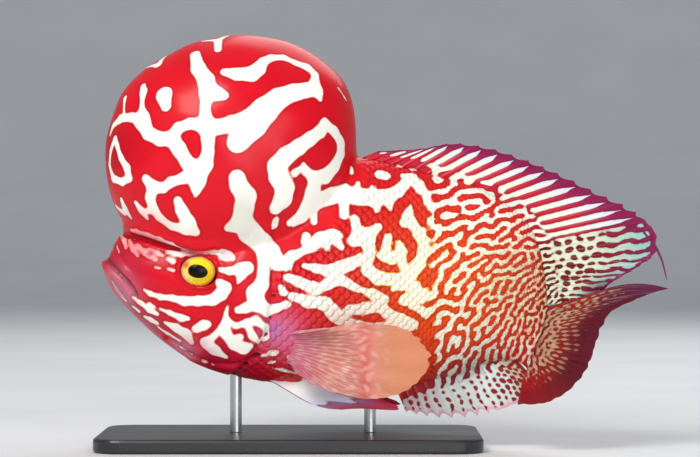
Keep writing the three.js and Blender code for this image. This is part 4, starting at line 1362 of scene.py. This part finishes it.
def make_pectoral(side, seed):
    def sideways(x, u, v):
        return on_side(x, bend(x) - mix(26.5, 20.5, u) - mix(14.5, 20.5, u) * smooth(1.7 * v), side)

    name, thick = "fin_pectoral_detail_" + side, (0.85, 0.12, 0.2)
    fin = Fin(name, PECTORAL_KEYS, sideways, rays=19, spines=0, notch=0.98, thick=thick, rows=56, seed=seed, sink=4)
    x = fin.middle[..., 0]
    marks = (np.abs(fin.ray - np.round(fin.ray)) - 0.16) * fin.spacing - 0.2 + 2 * smooth((x - 26) / 14)
    ground = blend(srgb(226, 124, 156), srgb(230, 150, 134), smooth((x - 2) / 22))
    ground = blend(ground, srgb(226, 150, 112), smooth((x - 38) / 12))
    ground = blend(ground, srgb(222, 96, 86), ridge(x, 37.5, 3) * 0.7)
    dapple = np.sin(fin.from_root * 0.8 + 2 * np.sin(fin.ray * 1.4)) * np.sin(fin.ray * 1.9 + fin.from_root * 0.25)
    ground = blend(ground, srgb(246, 208, 190), 0.5 * smooth(dapple * 1.4) * (1 - smooth((x - 34) / 20)))
    light = mix(ground, srgb(250, 214, 190), 0.12)
    web = fin.painted(marks, ground, light, mix(ground, light, 0.5))
    finish_piece(web, "clear_web", "clear_fin", "fin_pectoral_" + side, edge=FIN_EDGE)


def make_pelvic(side, seed):
    def sideways(x, u, v):
        return on_side(x, bend(x) - 8 - 12 * smooth(1.6 * v), side)

    name, thick = "fin_pelvic_detail_" + side, (0.5, 0.3, 0.2)
    shape = {"rays": 6, "spines": 1, "notch": 0.97, "thick": thick, "rows": 56, "sink": 4, "arch": -3.6}
    fin = Fin(name, PELVIC_KEYS, sideways, seed=seed, **shape)
    fray = np.sin(fin.ray * 5) + 0.8 * np.sin(fin.ray * 12.6 + 1)
    marks = (fin.out - 0.68 + 0.05 * fin.ray) * 20 + fray * (0.4 + 0.8 * smooth((fin.out - 0.3) / 0.3))
    ground = blend(srgb(176, 120, 168), srgb(206, 56, 88), smooth((fin.out - 0.62) / 0.3))
    light = blend(srgb(255, 255, 255), srgb(226, 226, 246), smooth((fin.out - 0.3) / 0.3))
    web = fin.painted(marks, ground, light, mix(ground, light, 0.6))
    finish_piece(web, "marked_fin", "fin", "fin_pelvic_" + side, edge=FIN_EDGE)


def make_stand():
    finishes = {"stand_base": "black_base", "stand_rod_front": "steel_rod", "stand_rod_rear": "steel_rod"}
    for name, finish in finishes.items():
        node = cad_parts[name]
        node.data.materials.clear()
        node.data.materials.append(bpy.data.materials[finish])


def main():
    deselect()
    make_finishes()
    make_camera()
    make_floor()
    make_lights()
    skin, shade = make_skin()
    bpy.context.view_layer.update()
    tree = BVHTree.FromObject(skin, bpy.context.evaluated_depsgraph_get())
    markings = Markings(tree)
    points = places(skin)
    paint(skin, points, markings.field(points), shade)
    finish_piece(skin, "marked_skin", "skin", *FLESH)
    make_eye("eye_left", -1)
    make_eye("eye_right", 1)
    coat = Coat()
    make_scales("left", 1, coat, tree, markings)
    make_scales("right", -1, coat, tree, markings)
    make_dorsal(markings)
    make_anal(markings)
    make_caudal(markings)
    make_pectoral("left", 40)
    make_pelvic("left", 25)
    make_pectoral("right", 41)
    make_pelvic("right", 26)
    make_stand()


main()
